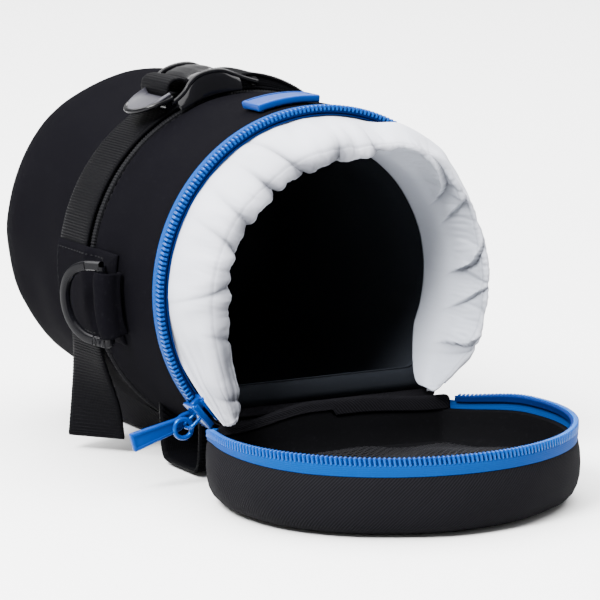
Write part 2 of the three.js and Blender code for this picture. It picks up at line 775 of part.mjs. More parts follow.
// D-ring: straight bar through the tab's roll and a bow that lies back over the strap
function buildRing(name, middle, centre) {
  const group = new THREE.Group();
  group.position.copy(centre);
  group.rotation.order = 'YZX';
  group.rotation.y = -middle * degree;
  pouch.add(group);
  const wire = ringWire / 2;
  const half = ringInnerWidth / 2 + wire;
  const path = [];
  const bowSteps = 16;
  for (let k = 0; k <= bowSteps; k += 1) {
    const turn = (k / bowSteps) * Math.PI;
    path.push(new THREE.Vector3(0, ringDepth * Math.sin(turn) ** ringBowShare, half * Math.cos(turn)));
  }
  const barSteps = 4;
  for (let k = 1; k < barSteps; k += 1) {
    path.push(new THREE.Vector3(0, 0, -half + (2 * half * k) / barSteps));
  }
  const outlines = path.map((point, i) => ringSection(path, i, wire, point));
  const geometry = loft(outlines, true).rotateZ(-ringLiftAngle * degree);
  addPiece(group, `d_ring_${name}`, geometry, paint(plasticBlack, 0.3));
}

// Eight-sided section of the ring, set across the bisector of its neighbours
function ringSection(path, i, wire, point) {
  const before = path[(i + path.length - 1) % path.length];
  const after = path[(i + 1) % path.length];
  const inward = point.clone().sub(before).normalize();
  const outward = after.clone().sub(point).normalize();
  const along = inward.clone().add(outward).normalize();
  const across = new THREE.Vector3(1, 0, 0).cross(along).normalize();
  const stretch = 1 / Math.max(inward.dot(along), 0.7);
  const sides = 8;
  return Array.from({ length: sides }, (_, k) => {
    const turn = ((k + 0.5) / sides) * Math.PI * 2;
    return point.clone()
      .addScaledVector(new THREE.Vector3(1, 0, 0), wire * Math.sin(turn))
      .addScaledVector(across, wire * Math.cos(turn) * stretch);
  });
}

// Rubber badge, bare, just behind the zipper on top
function buildBadge() {
  const halfAngle = (badgeLength / 2 / bodyRadius) / degree;
  const start = zipDepth + badgeSetback;
  const seat = bodyRadius + seatGap;
  const profile = band(seat, seat + badgeThickness, start, start + badgeWidth);
  const badge = alongArc(profile, badgeAngle - halfAngle, badgeAngle + halfAngle, 12);
  addPiece(pouch, 'badge', badge, paint(blue, 0.5));
}

// Body with its seam, swollen by the seat gap, for cutting what lies against it
function bodyKeepOut() {
  const stations = slopeStations(0);
  const swollen = bodyRadius + seatGap;
  const seamOuter = swollen + seamRise + seatGap;
  const seamFront = seamDistance - seamWidth / 2 - seatGap;
  const seamRear = seamDistance + seamWidth / 2 + seatGap;
  const profile = [
    [0, 0],
    ...stations.map((y) => [swollen, y]),
    [swollen, seamFront],
    [seamOuter, seamFront],
    [seamOuter, seamRear],
    [swollen, seamRear],
    [swollen, riseStart],
    [swollen, bodyLength],
    [0, bodyLength],
  ];
  return toManifold(aroundBody(profile));
}

function buildBack() {
  const keepOut = bodyKeepOut();
  const half = panelWidth / 2;
  const crest = axisHeight + rearRise - Math.sqrt(bodyRadius ** 2 - half ** 2);
  const outline = new THREE.Shape();
  outline.moveTo(-half, panelEdge);
  outline.lineTo(-half + panelEdge, 0);
  outline.lineTo(half - panelEdge, 0);
  outline.lineTo(half, panelEdge);
  outline.lineTo(half, crest);
  outline.lineTo(-half, crest);
  const block = new THREE.ExtrudeGeometry(outline, { depth: panelLength, bevelEnabled: false });
  block.rotateX(Math.PI / 2).translate(0, panelStart + panelLength, 0);
  const panel = toManifold(block).subtract(keepOut);
  addPiece(pouch, 'back_panel', fromManifold(panel), paint(black, 0.85));
  for (const side of [-1, 1]) {
    const name = side < 0 ? 'belt_loop_left' : 'belt_loop_right';
    addPiece(pouch, name, beltLoop(side, keepOut), paint(webbingBlack, 0.8));
  }
}

// Belt loop: webbing that hangs down in front of the back panel and runs up to the body at both ends
function beltLoop(side, keepOut) {
  const half = webbingThickness / 2;
  const rear = loopStart + loopSpan;
  const path = [
    [loopStart, axisHeight],
    [loopStart, loopCorner],
    [loopStart + loopCorner, half],
    [rear - loopCorner, half],
    [rear, loopCorner],
    [rear, axisHeight],
  ];
  const outline = ribbonOutline(path, webbingThickness);
  const middle = side * (bodyRadius - loopSetIn - webbingWidth / 2);
  const outlines = [-webbingWidth / 2, webbingWidth / 2]
    .map((x) => outline.map(([y, z]) => new THREE.Vector3(middle + x, y, z)));
  const pieces = toManifold(loft(outlines, false)).subtract(keepOut).decompose();
  const lowest = pieces.reduce((a, b) => (a.boundingBox().min[2] < b.boundingBox().min[2] ? a : b));
  return fromManifold(lowest);
}

buildShells();
buildPadding();
buildCollar();
buildZipSide(pouch, 'pouch', 1, new THREE.Matrix4());
buildLid();
buildHinge();
buildSlider();
buildStraps();
buildBuckle();
buildWebbingLoop();
buildRingTab(-1);
buildRingTab(1);
buildBadge();
buildBack();
pouch.add(lid);

const lensPouch = new THREE.Group();
lensPouch.name = 'lens_pouch';
lensPouch.add(pouch);

export default lensPouch;
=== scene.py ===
"""Looks of the padded lens pouch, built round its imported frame.

Pieces are shaped in millimetres with y = 0 at the mouth, then placed in the row frame in metres.
Pieces of the lid are shaped closed and turned down about the hinge.
"""

import math
import random

import bmesh
import bpy
from mathutils import Matrix, Vector, noise


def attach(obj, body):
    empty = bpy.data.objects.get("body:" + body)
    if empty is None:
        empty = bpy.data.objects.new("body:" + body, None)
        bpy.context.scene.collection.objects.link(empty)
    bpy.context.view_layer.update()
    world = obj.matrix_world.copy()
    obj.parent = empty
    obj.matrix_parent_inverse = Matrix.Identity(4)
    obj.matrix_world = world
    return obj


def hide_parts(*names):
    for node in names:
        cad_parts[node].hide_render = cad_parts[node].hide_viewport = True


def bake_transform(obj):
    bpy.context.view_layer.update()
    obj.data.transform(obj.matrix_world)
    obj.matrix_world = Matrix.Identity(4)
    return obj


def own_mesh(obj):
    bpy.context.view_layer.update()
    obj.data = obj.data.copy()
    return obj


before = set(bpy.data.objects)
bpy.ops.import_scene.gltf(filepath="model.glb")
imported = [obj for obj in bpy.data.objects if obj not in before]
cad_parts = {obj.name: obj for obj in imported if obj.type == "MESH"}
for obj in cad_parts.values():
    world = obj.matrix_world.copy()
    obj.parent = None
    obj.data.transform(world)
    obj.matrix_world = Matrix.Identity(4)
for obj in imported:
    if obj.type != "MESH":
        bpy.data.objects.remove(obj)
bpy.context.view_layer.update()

# Sizes that several pieces share, in millimetres and degrees
MM = 0.001
BODY_RADIUS = 68.5
AXIS_HEIGHT = BODY_RADIUS + 4.0
BODY_LENGTH = 186.0
REAR_RADIUS = BODY_RADIUS - 2.0
REAR_ROUNDING = 40.0
ROUNDING_START = BODY_LENGTH - REAR_ROUNDING
REAR_RISE = 7.0
RISE_START = 92.1
FRONT_EDGE = 6.4
SLOPE_LENGTH = 38.0
SEAM_PLACE = 65.0
LID_HEIGHT = 30.0
HINGE_DROP = 6.0
HINGE_HEIGHT = LID_HEIGHT - HINGE_DROP
MOUTH_SETBACK = 100.0
WEBBING_WIDTH = 25.0
STRAP_MIDDLE = SEAM_PLACE + 14.3
SLIDER_ANGLE = 220.06

# Colours, as linear values
BLACK_CLOTH = (0.0017, 0.0016, 0.0023)
BLACK_WEBBING = (0.0017, 0.0017, 0.0022)
DARK_LINT = (0.010, 0.010, 0.012)
GREY_LINT = (0.03, 0.03, 0.036)
PALE_NYLON = (0.41, 0.42, 0.465)
# Painted shade: greys that darken the collar's fold lines and its inner side, where shade falls
PAINTED_CREASE_SHADE = (0.035, 0.037, 0.046)
PAINTED_INNER_SHADE = (0.36, 0.385, 0.44)
BLUE = (0.0002, 0.031, 0.155)
# Painted shade: the zipper's core is a much darker blue than the teeth, for the shade between the coil's turns
PAINTED_SHADE_BLUE = (0.0002, 0.006, 0.048)
MOULDED_BLUE = (0.0003, 0.020, 0.13)
BLUE_GLINT = (0.02, 0.35, 1.0, 1.0)
PAPER = (0.68, 0.68, 0.68, 1.0)
# Millimetres down the collar's cloth over which it turns to its inner side, whose colour is greyed there as painted
# shade
INNER_SHADE_SPAN = (42.0, 56.0)


def smoothstep(value, low=0.0, high=1.0):
    share = min(max((value - low) / (high - low), 0.0), 1.0)
    return share * share * (3 - 2 * share)


def mix(a, b, share):
    return a + (b - a) * share


def bell(value, middle, width):
    """Smooth hump that is 1 at its middle"""
    return math.exp(-(((value - middle) / width) ** 2))


def rumple(x, y, z):
    return noise.noise(Vector((x, y, z)))


def curve_point(points, share):
    """Point at a share of the way along a smooth curve through a few points"""
    place = share * (len(points) - 1)
    i = min(int(place), len(points) - 2)
    t = place - i
    p1, p2 = points[i], points[i + 1]
    p0 = points[max(i - 1, 0)]
    p3 = points[min(i + 2, len(points) - 1)]
    return tuple(
        0.5 * (2 * b + (c - a) * t + (2 * a - 5 * b + 4 * c - d) * t**2 + (3 * b - a - 3 * c + d) * t**3)
        for a, b, c, d in zip(p0, p1, p2, p3)
    )


def ring_point(radius, angle, y):
    """Point round the pouch's axis: angle 0 is to +X and 90 is up"""
    turn = math.radians(angle)
    return Vector((radius * math.cos(turn), y, AXIS_HEIGHT + radius * math.sin(turn)))


def angle_of(co):
    return math.degrees(math.atan2(co.z - AXIS_HEIGHT, co.x))


def outward(co):
    """Way from the pouch's axis straight out to a point"""
    return Vector((co.x, 0, co.z - AXIS_HEIGHT))


def turned_frame(origin, angle):
    """Frame at a point round the mouth: x runs outwards, z towards a larger angle"""
    return Matrix.Translation(origin) @ Matrix.Rotation(math.radians(-angle), 4, "Y")


# Mesh builders


def mapped_grid(across, along, place, size=(1.0, 1.0)):
    """Grid whose points go where place(u, v) says; its UV map holds lengths in millimetres"""
    bm = bmesh.new()
    bmesh.ops.create_grid(bm, x_segments=across, y_segments=along, size=0.5)
    cloth = bm.loops.layers.uv.new("cloth")
    for face in bm.faces:
        for loop in face.loops:
            co = loop.vert.co
            loop[cloth].uv = ((co.x + 0.5) * size[0], (co.y + 0.5) * size[1])
    for vert in bm.verts:
        vert.co = place(vert.co.x + 0.5, vert.co.y + 0.5)
    return bm


def whole(bm):
    return bm.verts[:] + bm.edges[:] + bm.faces[:]


def spin_round(bm, geom, sweep, steps, merge=False, copies=False):
    """Carries geometry round the pouch's axis, as one skin or as separate copies"""
    bmesh.ops.spin(
        bm,
        geom=geom,
        cent=(0, 0, AXIS_HEIGHT),
        axis=(0, -1, 0),
        dvec=(0, 0, 0),
        angle=math.radians(sweep),
        steps=steps,
        use_merge=merge,
        use_duplicate=copies,
    )


def spun(profile, start=0.0, sweep=360.0, steps=180, closed=False):
    """A profile of (height over the body's radius, y) pairs carried round the pouch's axis"""
    bm = bmesh.new()
    verts = [bm.verts.new(ring_point(BODY_RADIUS + height, start, y)) for height, y in profile]
    edges = [bm.edges.new(pair) for pair in zip(verts, verts[1:])]
    if closed:
        edges.append(bm.edges.new((verts[-1], verts[0])))
    full = abs(sweep) >= 360
    spin_round(bm, verts + edges, sweep, steps, merge=full)
    bmesh.ops.remove_doubles(bm, verts=bm.verts, dist=1e-4)
    if closed and not full:
        close_ends(bm)
    round_uvs(bm)
    return bm


def close_ends(bm):
    open_edges = [edge for edge in bm.edges if edge.is_boundary]
    bmesh.ops.holes_fill(bm, edges=open_edges, sides=0)


def round_uvs(bm):
    """UV map in millimetres: round and along the body, or flat on faces that look along it"""
    cloth = bm.loops.layers.uv.new("cloth")
    bm.normal_update()
    for face in bm.faces:
        flat = abs(face.normal.y) > 0.75
        middle = angle_of(face.calc_center_median())
        for loop in face.loops:
            co = loop.vert.co
            if flat:
                loop[cloth].uv = (co.x, co.z)
                continue
            turn = angle_of(co)
            if turn - middle > 180:
                turn -= 360
            elif middle - turn > 180:
                turn += 360
            loop[cloth].uv = (math.radians(turn) * BODY_RADIUS, co.y)


def merge_bmesh(target, source):
    """Adds one bmesh to another and frees it"""
    mesh = bpy.data.meshes.new("part")
    source.to_mesh(mesh)
    source.free()
    target.from_mesh(mesh)
    bpy.data.meshes.remove(mesh)


def tube(path, radius, sides, steps, closed=False):
    """Round bar along a smooth path"""
    points = [Vector(p) for p in path]
    if closed:
        points.append(points[0])

    def centre(v):
        return Vector(curve_point(points, v))

    def place(u, v):
        ahead = centre(min(v + 0.002, 1.0)) - centre(max(v - 0.002, 0.0))
        ahead.normalize()
        side = ahead.cross(Vector((0, 1, 0)))
        if side.length < 0.1:
            side = ahead.cross(Vector((1, 0, 0)))
        side.normalize()
        up = side.cross(ahead)
        turn = u * math.tau
        return centre(v) + side * math.cos(turn) * radius + up * math.sin(turn) * radius

    bm = mapped_grid(sides, steps, place, (math.tau, 10.0))
    bmesh.ops.remove_doubles(bm, verts=bm.verts, dist=1e-3)
    if not closed:
        close_ends(bm)
    return bm


def block(size, centre=(0, 0, 0), bevel=0.3, segments=2):
    """Box with rounded edges"""
    bm = bmesh.new()
    bmesh.ops.create_cube(bm, size=1)
    bmesh.ops.scale(bm, vec=size, verts=bm.verts)
    bmesh.ops.bevel(
        bm, geom=bm.edges[:], offset=bevel, affect="EDGES", segments=segments, profile=0.5, material=-1
    )
    bmesh.ops.translate(bm, vec=centre, verts=bm.verts)
    return bm


def sink_face(bm, face, rim, slope, depth):
    """Sinks the middle of a face, inside a plain rim and a narrow slope"""
    bmesh.ops.inset_individual(bm, faces=[face], thickness=rim, depth=0.0)
    bmesh.ops.inset_individual(bm, faces=[face], thickness=slope, depth=-depth)


def new_object(name, data):
    made = bpy.data.objects.new(name, data)
    bpy.context.scene.collection.objects.link(made)
    return made


def new_mesh(name, bm, material):
    """Turns a bmesh into a mesh with one material, and frees it"""
    mesh = bpy.data.meshes.new(name)
    bm.to_mesh(mesh)
    bm.free()
    mesh.materials.append(material)
    return mesh


def add_piece(name, bm, material, body, slot, nodes=(), lid=False, thick=0.0, sharp=40):
    """Places a bmesh in the row frame, makes it an object and ties it to its body, when it is given one body by name
    """
    if lid:
        for vert in bm.verts:
            lid_sag(vert.co)
        turn_down = Matrix.Rotation(math.pi / 2, 3, "X")
        bmesh.ops.rotate(bm, cent=(0, -HINGE_DROP, HINGE_HEIGHT), matrix=turn_down, verts=bm.verts)
    bmesh.ops.translate(bm, vec=(0, -MOUTH_SETBACK, 0), verts=bm.verts)
    bmesh.ops.scale(bm, vec=(MM, MM, MM), verts=bm.verts)
    bmesh.ops.recalc_face_normals(bm, faces=bm.faces)
    for edge in bm.edges:
        edge.smooth = not edge.is_manifold or edge.calc_face_angle(0) < math.radians(sharp)
    for face in bm.faces:
        face.smooth = True
    piece = new_object(name, new_mesh(name, bm, material))
    if thick:
        wall = piece.modifiers.new("Wall", "SOLIDIFY")
        wall.thickness = thick * MM
        wall.offset = -1.0
    if isinstance(body, str):
        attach(piece, body)
    else:
        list(body)
        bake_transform(piece)
    if nodes:
        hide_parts(*nodes)
    return piece


# Node trees


def node(tree, kind, **values):
    made = tree.nodes.new(kind)
    for name, value in values.items():
        setattr(made, name, value)
    return made


def feed(tree, socket, value):
    """Gives a socket a number, a colour or another node's output"""
    if isinstance(value, (int, float)):
        socket.default_value = value
    elif isinstance(value, tuple):
        socket.default_value = (*value, 1)
    else:
        tree.links.new(value, socket)


def calc(tree, operation, *terms):
    """Math node on sockets or plain numbers"""
    made = node(tree, "ShaderNodeMath", operation=operation)
    for socket, value in zip(made.inputs, terms):
        feed(tree, socket, value)
    return made.outputs[0]


def blend_colour(tree, share, a, b):
    made = node(tree, "ShaderNodeMix", data_type="RGBA")
    for place, value in ((0, share), (6, a), (7, b)):
        feed(tree, made.inputs[place], value)
    return made.outputs[2]


def noise_value(tree, scale, detail):
    made = node(tree, "ShaderNodeTexNoise")
    feed(tree, made.inputs["Scale"], scale)
    feed(tree, made.inputs["Detail"], detail)
    feed(tree, made.inputs["Vector"], node(tree, "ShaderNodeTexCoord").outputs["Object"])
    return made.outputs["Fac"]


def new_group(name, inputs, outputs):
    """Shader node group with named sockets; returns it with its input and output nodes"""
    group = bpy.data.node_groups.new(name, "ShaderNodeTree")
    kinds = {float: "NodeSocketFloat", tuple: "NodeSocketColor"}
    for label, value in inputs.items():
        socket = group.interface.new_socket(label, in_out="INPUT", socket_type=kinds[type(value)])
        feed(group, socket, value)
    for label, kind in outputs.items():
        group.interface.new_socket(label, in_out="OUTPUT", socket_type=kinds[kind])
    return group, node(group, "NodeGroupInput").outputs, node(group, "NodeGroupOutput").inputs


def place_group(tree, group, **values):
    made = node(tree, "ShaderNodeGroup", node_tree=group)
    for name, value in values.items():
        feed(tree, made.inputs[name], value)
    return made


def cloth_uv(tree):
    """The two lengths of the piece's cloth map, in millimetres"""
    split = node(tree, "ShaderNodeSeparateXYZ")
    tree.links.new(node(tree, "ShaderNodeUVMap", uv_map="cloth").outputs[0], split.inputs[0])
    return split.outputs[0], split.outputs[1]


def wave(tree, length, pitch):
    """Sine of a length, once in each pitch, from -1 to 1"""
    turns = calc(tree, "DIVIDE", length, pitch)
    return calc(tree, "SINE", calc(tree, "MULTIPLY", turns, math.tau))


def make_thread_group(name, pitches, draw):
    """Group for a woven pattern: the height of its threads, and a mask of the gaps between them, where shade is
    painted
    """
    group, given, out = new_group(name, pitches, {"Height": float, "Gaps": float})
    height, gaps = draw(group, *cloth_uv(group), given)
    group.links.new(height, out["Height"])
    group.links.new(gaps, out["Gaps"])
    return group


def plain_weave(tree, along, across, given):
    """Crossed threads, with deep and narrow gaps"""
    crossed = calc(tree, "MULTIPLY", wave(tree, along, given["Pitch"]), wave(tree, across, given["Pitch"]))
    height = calc(tree, "MULTIPLY_ADD", crossed, 0.5, 0.5)
    return height, calc(tree, "POWER", calc(tree, "SUBTRACT", 1.0, height), 3.0)


def twill_weave(tree, along, across, given):
    """Slanting ridges, broken up by the threads that cross them"""
    ridge = wave(tree, calc(tree, "ADD", along, across), given["Pitch"])
    half_pitch = calc(tree, "MULTIPLY", given["Pitch"], 0.5)
    crossing = wave(tree, calc(tree, "SUBTRACT", along, across), half_pitch)
    height = calc(tree, "MULTIPLY_ADD", ridge, 0.4, calc(tree, "MULTIPLY_ADD", crossing, 0.12, 0.5))
    return height, calc(tree, "SUBTRACT", 1.0, height)


def ribbed_yarn(tree, along, across, given):
    """Fine yarns that run along webbing or tape, over small cross ribs"""
    yarn = wave(tree, across, given["Pitch"])
    rib = wave(tree, along, given["Run"])
    height = calc(tree, "MULTIPLY_ADD", yarn, 0.3, calc(tree, "MULTIPLY_ADD", rib, 0.2, 0.5))
    return height, calc(tree, "SUBTRACT", 1.0, height)


def make_wear_group():
    """Soft change of tone over a cloth or plastic, with pale lint or scuffs in small spots"""
    shades = {"Colour": (0.1, 0.1, 0.1), "Shade": (0.2, 0.2, 0.2), "Lint": (0.3, 0.3, 0.3)}
    group, given, out = new_group("soft_wear", {**shades, "Amount": 0.5}, {"Colour": tuple, "Rough": float})
    broad = noise_value(group, 28.0, 4.0)
    fine = noise_value(group, 900.0, 2.0)
    share = calc(group, "MULTIPLY", calc(group, "SUBTRACT", broad, 0.35), given["Amount"])
    shaded = blend_colour(group, calc(group, "MAXIMUM", share, 0.0), given["Colour"], given["Shade"])
    spots = calc(group, "MULTIPLY", calc(group, "MAXIMUM", calc(group, "SUBTRACT", fine, 0.62), 0.0), 2.0)
    linted = blend_colour(group, spots, shaded, given["Lint"])
    group.links.new(linted, out["Colour"])
    group.links.new(calc(group, "MULTIPLY", calc(group, "SUBTRACT", broad, 0.5), 0.2), out["Rough"])
    return group


weave_group = make_thread_group("plain_weave", {"Pitch": 0.5}, plain_weave)
twill_group = make_thread_group("twill_weave", {"Pitch": 0.8}, twill_weave)
yarn_group = make_thread_group("ribbed_yarn", {"Pitch": 0.9, "Run": 0.35}, ribbed_yarn)
wear_group = make_wear_group()


# Materials


def finish_material(
    name, colour, shade, lint, rough, pattern=None, pitches=None,
    depth=0.1, gap_shade_strength=0.4, grain=0.0, amount=0.6, **shader_values,
):
    """Material from the shared groups: worn tone, a pattern's height as bump, and painted shade in the pattern's gaps
    """
    material = bpy.data.materials.new(name)
    material.use_nodes = True
    tree = material.node_tree
    shader = tree.nodes["Principled BSDF"]
    worn = place_group(tree, wear_group, Colour=colour, Shade=shade, Lint=lint, Amount=amount)
    surface = worn.outputs["Colour"]
    height = None
    if pattern:
        woven = place_group(tree, pattern, **pitches)
        # Painted shade: the pattern's gaps are darkened towards a quarter of the colour, as if shade fell between the
        # threads
        gap_shade_share = calc(tree, "MULTIPLY", woven.outputs["Gaps"], gap_shade_strength)
        surface = blend_colour(tree, gap_shade_share, surface, tuple(c * 0.25 for c in colour))
        height = woven.outputs["Height"]
    if grain:
        height = calc(tree, "MULTIPLY", noise_value(tree, 2400.0, 2.0), grain)
    bump = node(tree, "ShaderNodeBump")
    bump.inputs["Strength"].default_value = 1.0
    bump.inputs["Distance"].default_value = depth * MM
    tree.links.new(height, bump.inputs["Height"])
    tree.links.new(bump.outputs[0], shader.inputs["Normal"])
    tree.links.new(surface, shader.inputs["Base Color"])
    tree.links.new(calc(tree, "ADD", worn.outputs["Rough"], rough), shader.inputs["Roughness"])
    for label, value in shader_values.items():
        shader.inputs[label.replace("_", " ")].default_value = value
    return material


def shade_creases(material):
    """Painted shade: a greyer inner side of the folded collar, and darker lines along its folds"""
    tree = material.node_tree
    base = tree.nodes["Principled BSDF"].inputs["Base Color"]
    surface = base.links[0].from_socket
    inner = node(tree, "ShaderNodeMapRange", interpolation_type="SMOOTHSTEP")
    for label, length in zip(("From Min", "From Max"), INNER_SHADE_SPAN):
        inner.inputs[label].default_value = length
    tree.links.new(cloth_uv(tree)[1], inner.inputs["Value"])
    # Painted shade: the inner side is greyed, then the fold lines from the point attribute
    surface = blend_colour(tree, calc(tree, "MULTIPLY", inner.outputs[0], 0.8), surface, PAINTED_INNER_SHADE)
    fold_shade = node(tree, "ShaderNodeAttribute", attribute_name="fold_shade").outputs["Fac"]
    surface = blend_colour(tree, calc(tree, "MULTIPLY", fold_shade, 0.85), surface, PAINTED_CREASE_SHADE)
    tree.links.new(surface, base)


body_cloth = finish_material(
    "body_cloth", BLACK_CLOTH, (0.0026, 0.0025, 0.0033), DARK_LINT, 0.9,
    weave_group, {"Pitch": 0.45}, depth=0.05, gap_shade_strength=0.25, Specular_IOR_Level=0.008,
)
twill_cloth = finish_material(
    "twill_cloth", (0.0060, 0.0058, 0.0072), (0.0085, 0.0082, 0.0098), DARK_LINT, 0.8,
    twill_group, {"Pitch": 1.3}, depth=0.15, gap_shade_strength=1.0, Specular_IOR_Level=0.02,
)
webbing_cloth = finish_material(
    "webbing_cloth", BLACK_WEBBING, (0.0026, 0.0026, 0.0032), DARK_LINT, 0.5,
    yarn_group, {"Pitch": 0.8, "Run": 0.37}, depth=0.1, gap_shade_strength=0.6, Specular_IOR_Level=0.016,
)
seam_cloth = finish_material(
    "seam_cloth", (0.0032, 0.0032, 0.0040), (0.0048, 0.0048, 0.0056), DARK_LINT, 0.6,
    yarn_group, {"Pitch": 0.8, "Run": 1.1}, depth=0.1, gap_shade_strength=0.5, Specular_IOR_Level=0.05,
)
grey_lining = finish_material(
    "grey_lining", (0.010, 0.0115, 0.0145), (0.014, 0.016, 0.020), GREY_LINT, 0.75,
    weave_group, {"Pitch": 0.5}, depth=0.05, gap_shade_strength=0.3, Specular_IOR_Level=0.03,
)
black_lining = finish_material(
    "black_lining", (0.0016, 0.0016, 0.0020), (0.0024, 0.0024, 0.0029), DARK_LINT, 0.8,
    weave_group, {"Pitch": 0.5}, depth=0.05, gap_shade_strength=0.3, Specular_IOR_Level=0.03,
)
pale_nylon = finish_material(
    "pale_nylon", PALE_NYLON, (0.34, 0.35, 0.39), (0.44, 0.45, 0.49), 0.55,
    weave_group, {"Pitch": 0.35}, depth=0.02, gap_shade_strength=0.08, amount=0.35, Specular_IOR_Level=0.15,
)
shade_creases(pale_nylon)
blue_tape = finish_material(
    "blue_tape", BLUE, (0.0003, 0.026, 0.145), (0.0006, 0.03, 0.16), 0.7,
    yarn_group, {"Pitch": 0.7, "Run": 0.5}, depth=0.08, gap_shade_strength=0.35,
    Specular_IOR_Level=0.08, Specular_Tint=BLUE_GLINT,
)
blue_teeth = finish_material(
    "blue_teeth", (0.0003, 0.028, 0.155), (0.0004, 0.033, 0.18), (0.0006, 0.04, 0.20), 0.32,
    grain=0.3, depth=0.03, Specular_IOR_Level=0.6, Specular_Tint=BLUE_GLINT,
)
# Painted shade: darker blue of the core between the coil's turns
shaded_blue_core = finish_material(
    "shaded_blue_core", PAINTED_SHADE_BLUE, (0.0006, 0.014, 0.10), (0.003, 0.03, 0.16), 0.6,
    grain=0.4, depth=0.04, Specular_IOR_Level=0.05, Specular_Tint=BLUE_GLINT,
)
blue_paint = finish_material(
    "blue_paint", MOULDED_BLUE, (0.0005, 0.026, 0.16), (0.002, 0.05, 0.20), 0.2,
    grain=0.15, depth=0.02, Specular_IOR_Level=0.7, Specular_Tint=BLUE_GLINT,
)
blue_rubber = finish_material(
    "blue_rubber", MOULDED_BLUE, (0.0005, 0.025, 0.155), (0.001, 0.03, 0.17), 0.42,
    grain=0.5, depth=0.05, Specular_IOR_Level=0.3, Specular_Tint=BLUE_GLINT,
)
thread = finish_material(
    "thread", (0.003, 0.003, 0.0036), (0.005, 0.005, 0.006), DARK_LINT, 0.6,
    grain=0.6, depth=0.05, Specular_IOR_Level=0.02,
)
net_cloth = finish_material(
    "net_cloth", (0.006, 0.006, 0.0072), (0.009, 0.009, 0.010), GREY_LINT, 0.55,
    grain=0.5, depth=0.06, Specular_IOR_Level=0.08,
)
black_gloss = finish_material(
    "black_gloss", (0.0014, 0.0014, 0.0019), (0.0024, 0.0024, 0.0029), DARK_LINT, 0.16,
    grain=0.2, depth=0.02, Specular_IOR_Level=0.12,
)
# Painted reflection: the thumb tab is a lighter grey than the buckle's black gloss, standing for the bright
# reflection on its flat top
thumb_painted_reflection = finish_material(
    "thumb_painted_reflection", (0.018, 0.0177, 0.023), (0.024, 0.0235, 0.029), (0.04, 0.04, 0.046), 0.45,
    grain=0.25, depth=0.02, Specular_IOR_Level=0.14,
)
ring_plastic = finish_material(
    "ring_plastic", (0.0018, 0.0018, 0.0024), (0.0030, 0.0030, 0.0038), DARK_LINT, 0.22,
    grain=0.3, depth=0.03, Specular_IOR_Level=0.04,
)


# Body of the pouch

# Seam between the two shells: height over the body's radius, and distance behind the seam
SEAM_GROOVE = [
    (0.1, -7), (0.1, -4.6), (-0.1, -3.4), (-0.7, -2.5), (-1.7, -1.9), (-1.9, -1.4),
    (-1.9, 1.4), (-1.7, 1.9), (-0.7, 2.5), (-0.1, 3.4), (0.1, 4.6),
]
# Front edges of the shell and of the strip that closes the padding: height, and distance behind FRONT_EDGE
SHELL_FRONT = [(-3.2, 0.9), (-1.4, 0.1), (-0.4, 0.0), (0.0, 0.8)]
FACING_SECTION = [(-2.8, 0.6), (-6.0, 0.2), (-9.5, 0.3), (-11.1, 1.2), (-11.4, 3.0)]
LINING_DEPTH = 11.4
# Bulge of the closed end: radius and distance behind it
BASE_BULGE = ((18.0, 0.4), (9.0, 0.6), (0.0, 0.6))
PIPING_RADIUS = 1.35
PIPING_RIB = 0.16
PIPING_SINK = 0.75
PIPING_PITCH = 1.25
SEAM_STITCHES = 130
SEAM_STITCH_SIZE = (0.4, 0.45, 2.1)
SEAM_STITCH_OFFSET = 3.6


def soft_floor(height, level, softness):
    """Height kept above a level, with a soft corner"""
    gap = height - level
    return level + (gap + math.sqrt(gap * gap + softness * softness)) / 2 - softness * 0.12


def flat_level(y):
    """Height of the flat underside, from the hinge back to the round body"""
    return mix(HINGE_HEIGHT, AXIS_HEIGHT - BODY_RADIUS, smoothstep(y, FRONT_EDGE, FRONT_EDGE + SLOPE_LENGTH))


def flatten_floor(co, inset=0.0, softness=2.0):
    """Keeps a point above the flat underside"""
    co.z = soft_floor(co.z, flat_level(co.y) + inset, softness)


def axis_rise(y):
    """How far the axis rises behind the straps: the pouch lies with its mouth a little lower"""
    return REAR_RISE * min(max((y - RISE_START) / (BODY_LENGTH - RISE_START), 0.0), 1.0)


def rear_taper(y):
    """Change of the body's radius from the seam back, where it narrows"""
    return mix(0.0, REAR_RADIUS - BODY_RADIUS, smoothstep(y, SEAM_PLACE, ROUNDING_START))


def rear_corner(radius, step):
    """Quarter turn from the side to the closed end"""
    turns = [math.radians(turn) for turn in range(0, 91, step)]
    inner = REAR_RADIUS - REAR_ROUNDING - BODY_RADIUS
    return [(inner + radius * math.cos(turn), ROUNDING_START + radius * math.sin(turn)) for turn in turns]


def cloth_ripple(co, size):
    """Small uneven push of soft cloth, in millimetres"""
    return size * noise.noise(co * 0.045)


def piping_point(u, v, ribs):
    """Point on the ribbed piping that lies in the seam's groove"""
    turn = v * math.tau
    lift = PIPING_RIB * math.sin(u * math.tau * ribs)
    radius = BODY_RADIUS - PIPING_SINK + (PIPING_RADIUS + lift) * math.sin(turn)
    point = ring_point(radius, u * 360, SEAM_PLACE + (PIPING_RADIUS - 0.1 + lift) * math.cos(turn))
    flatten_floor(point)
    return point


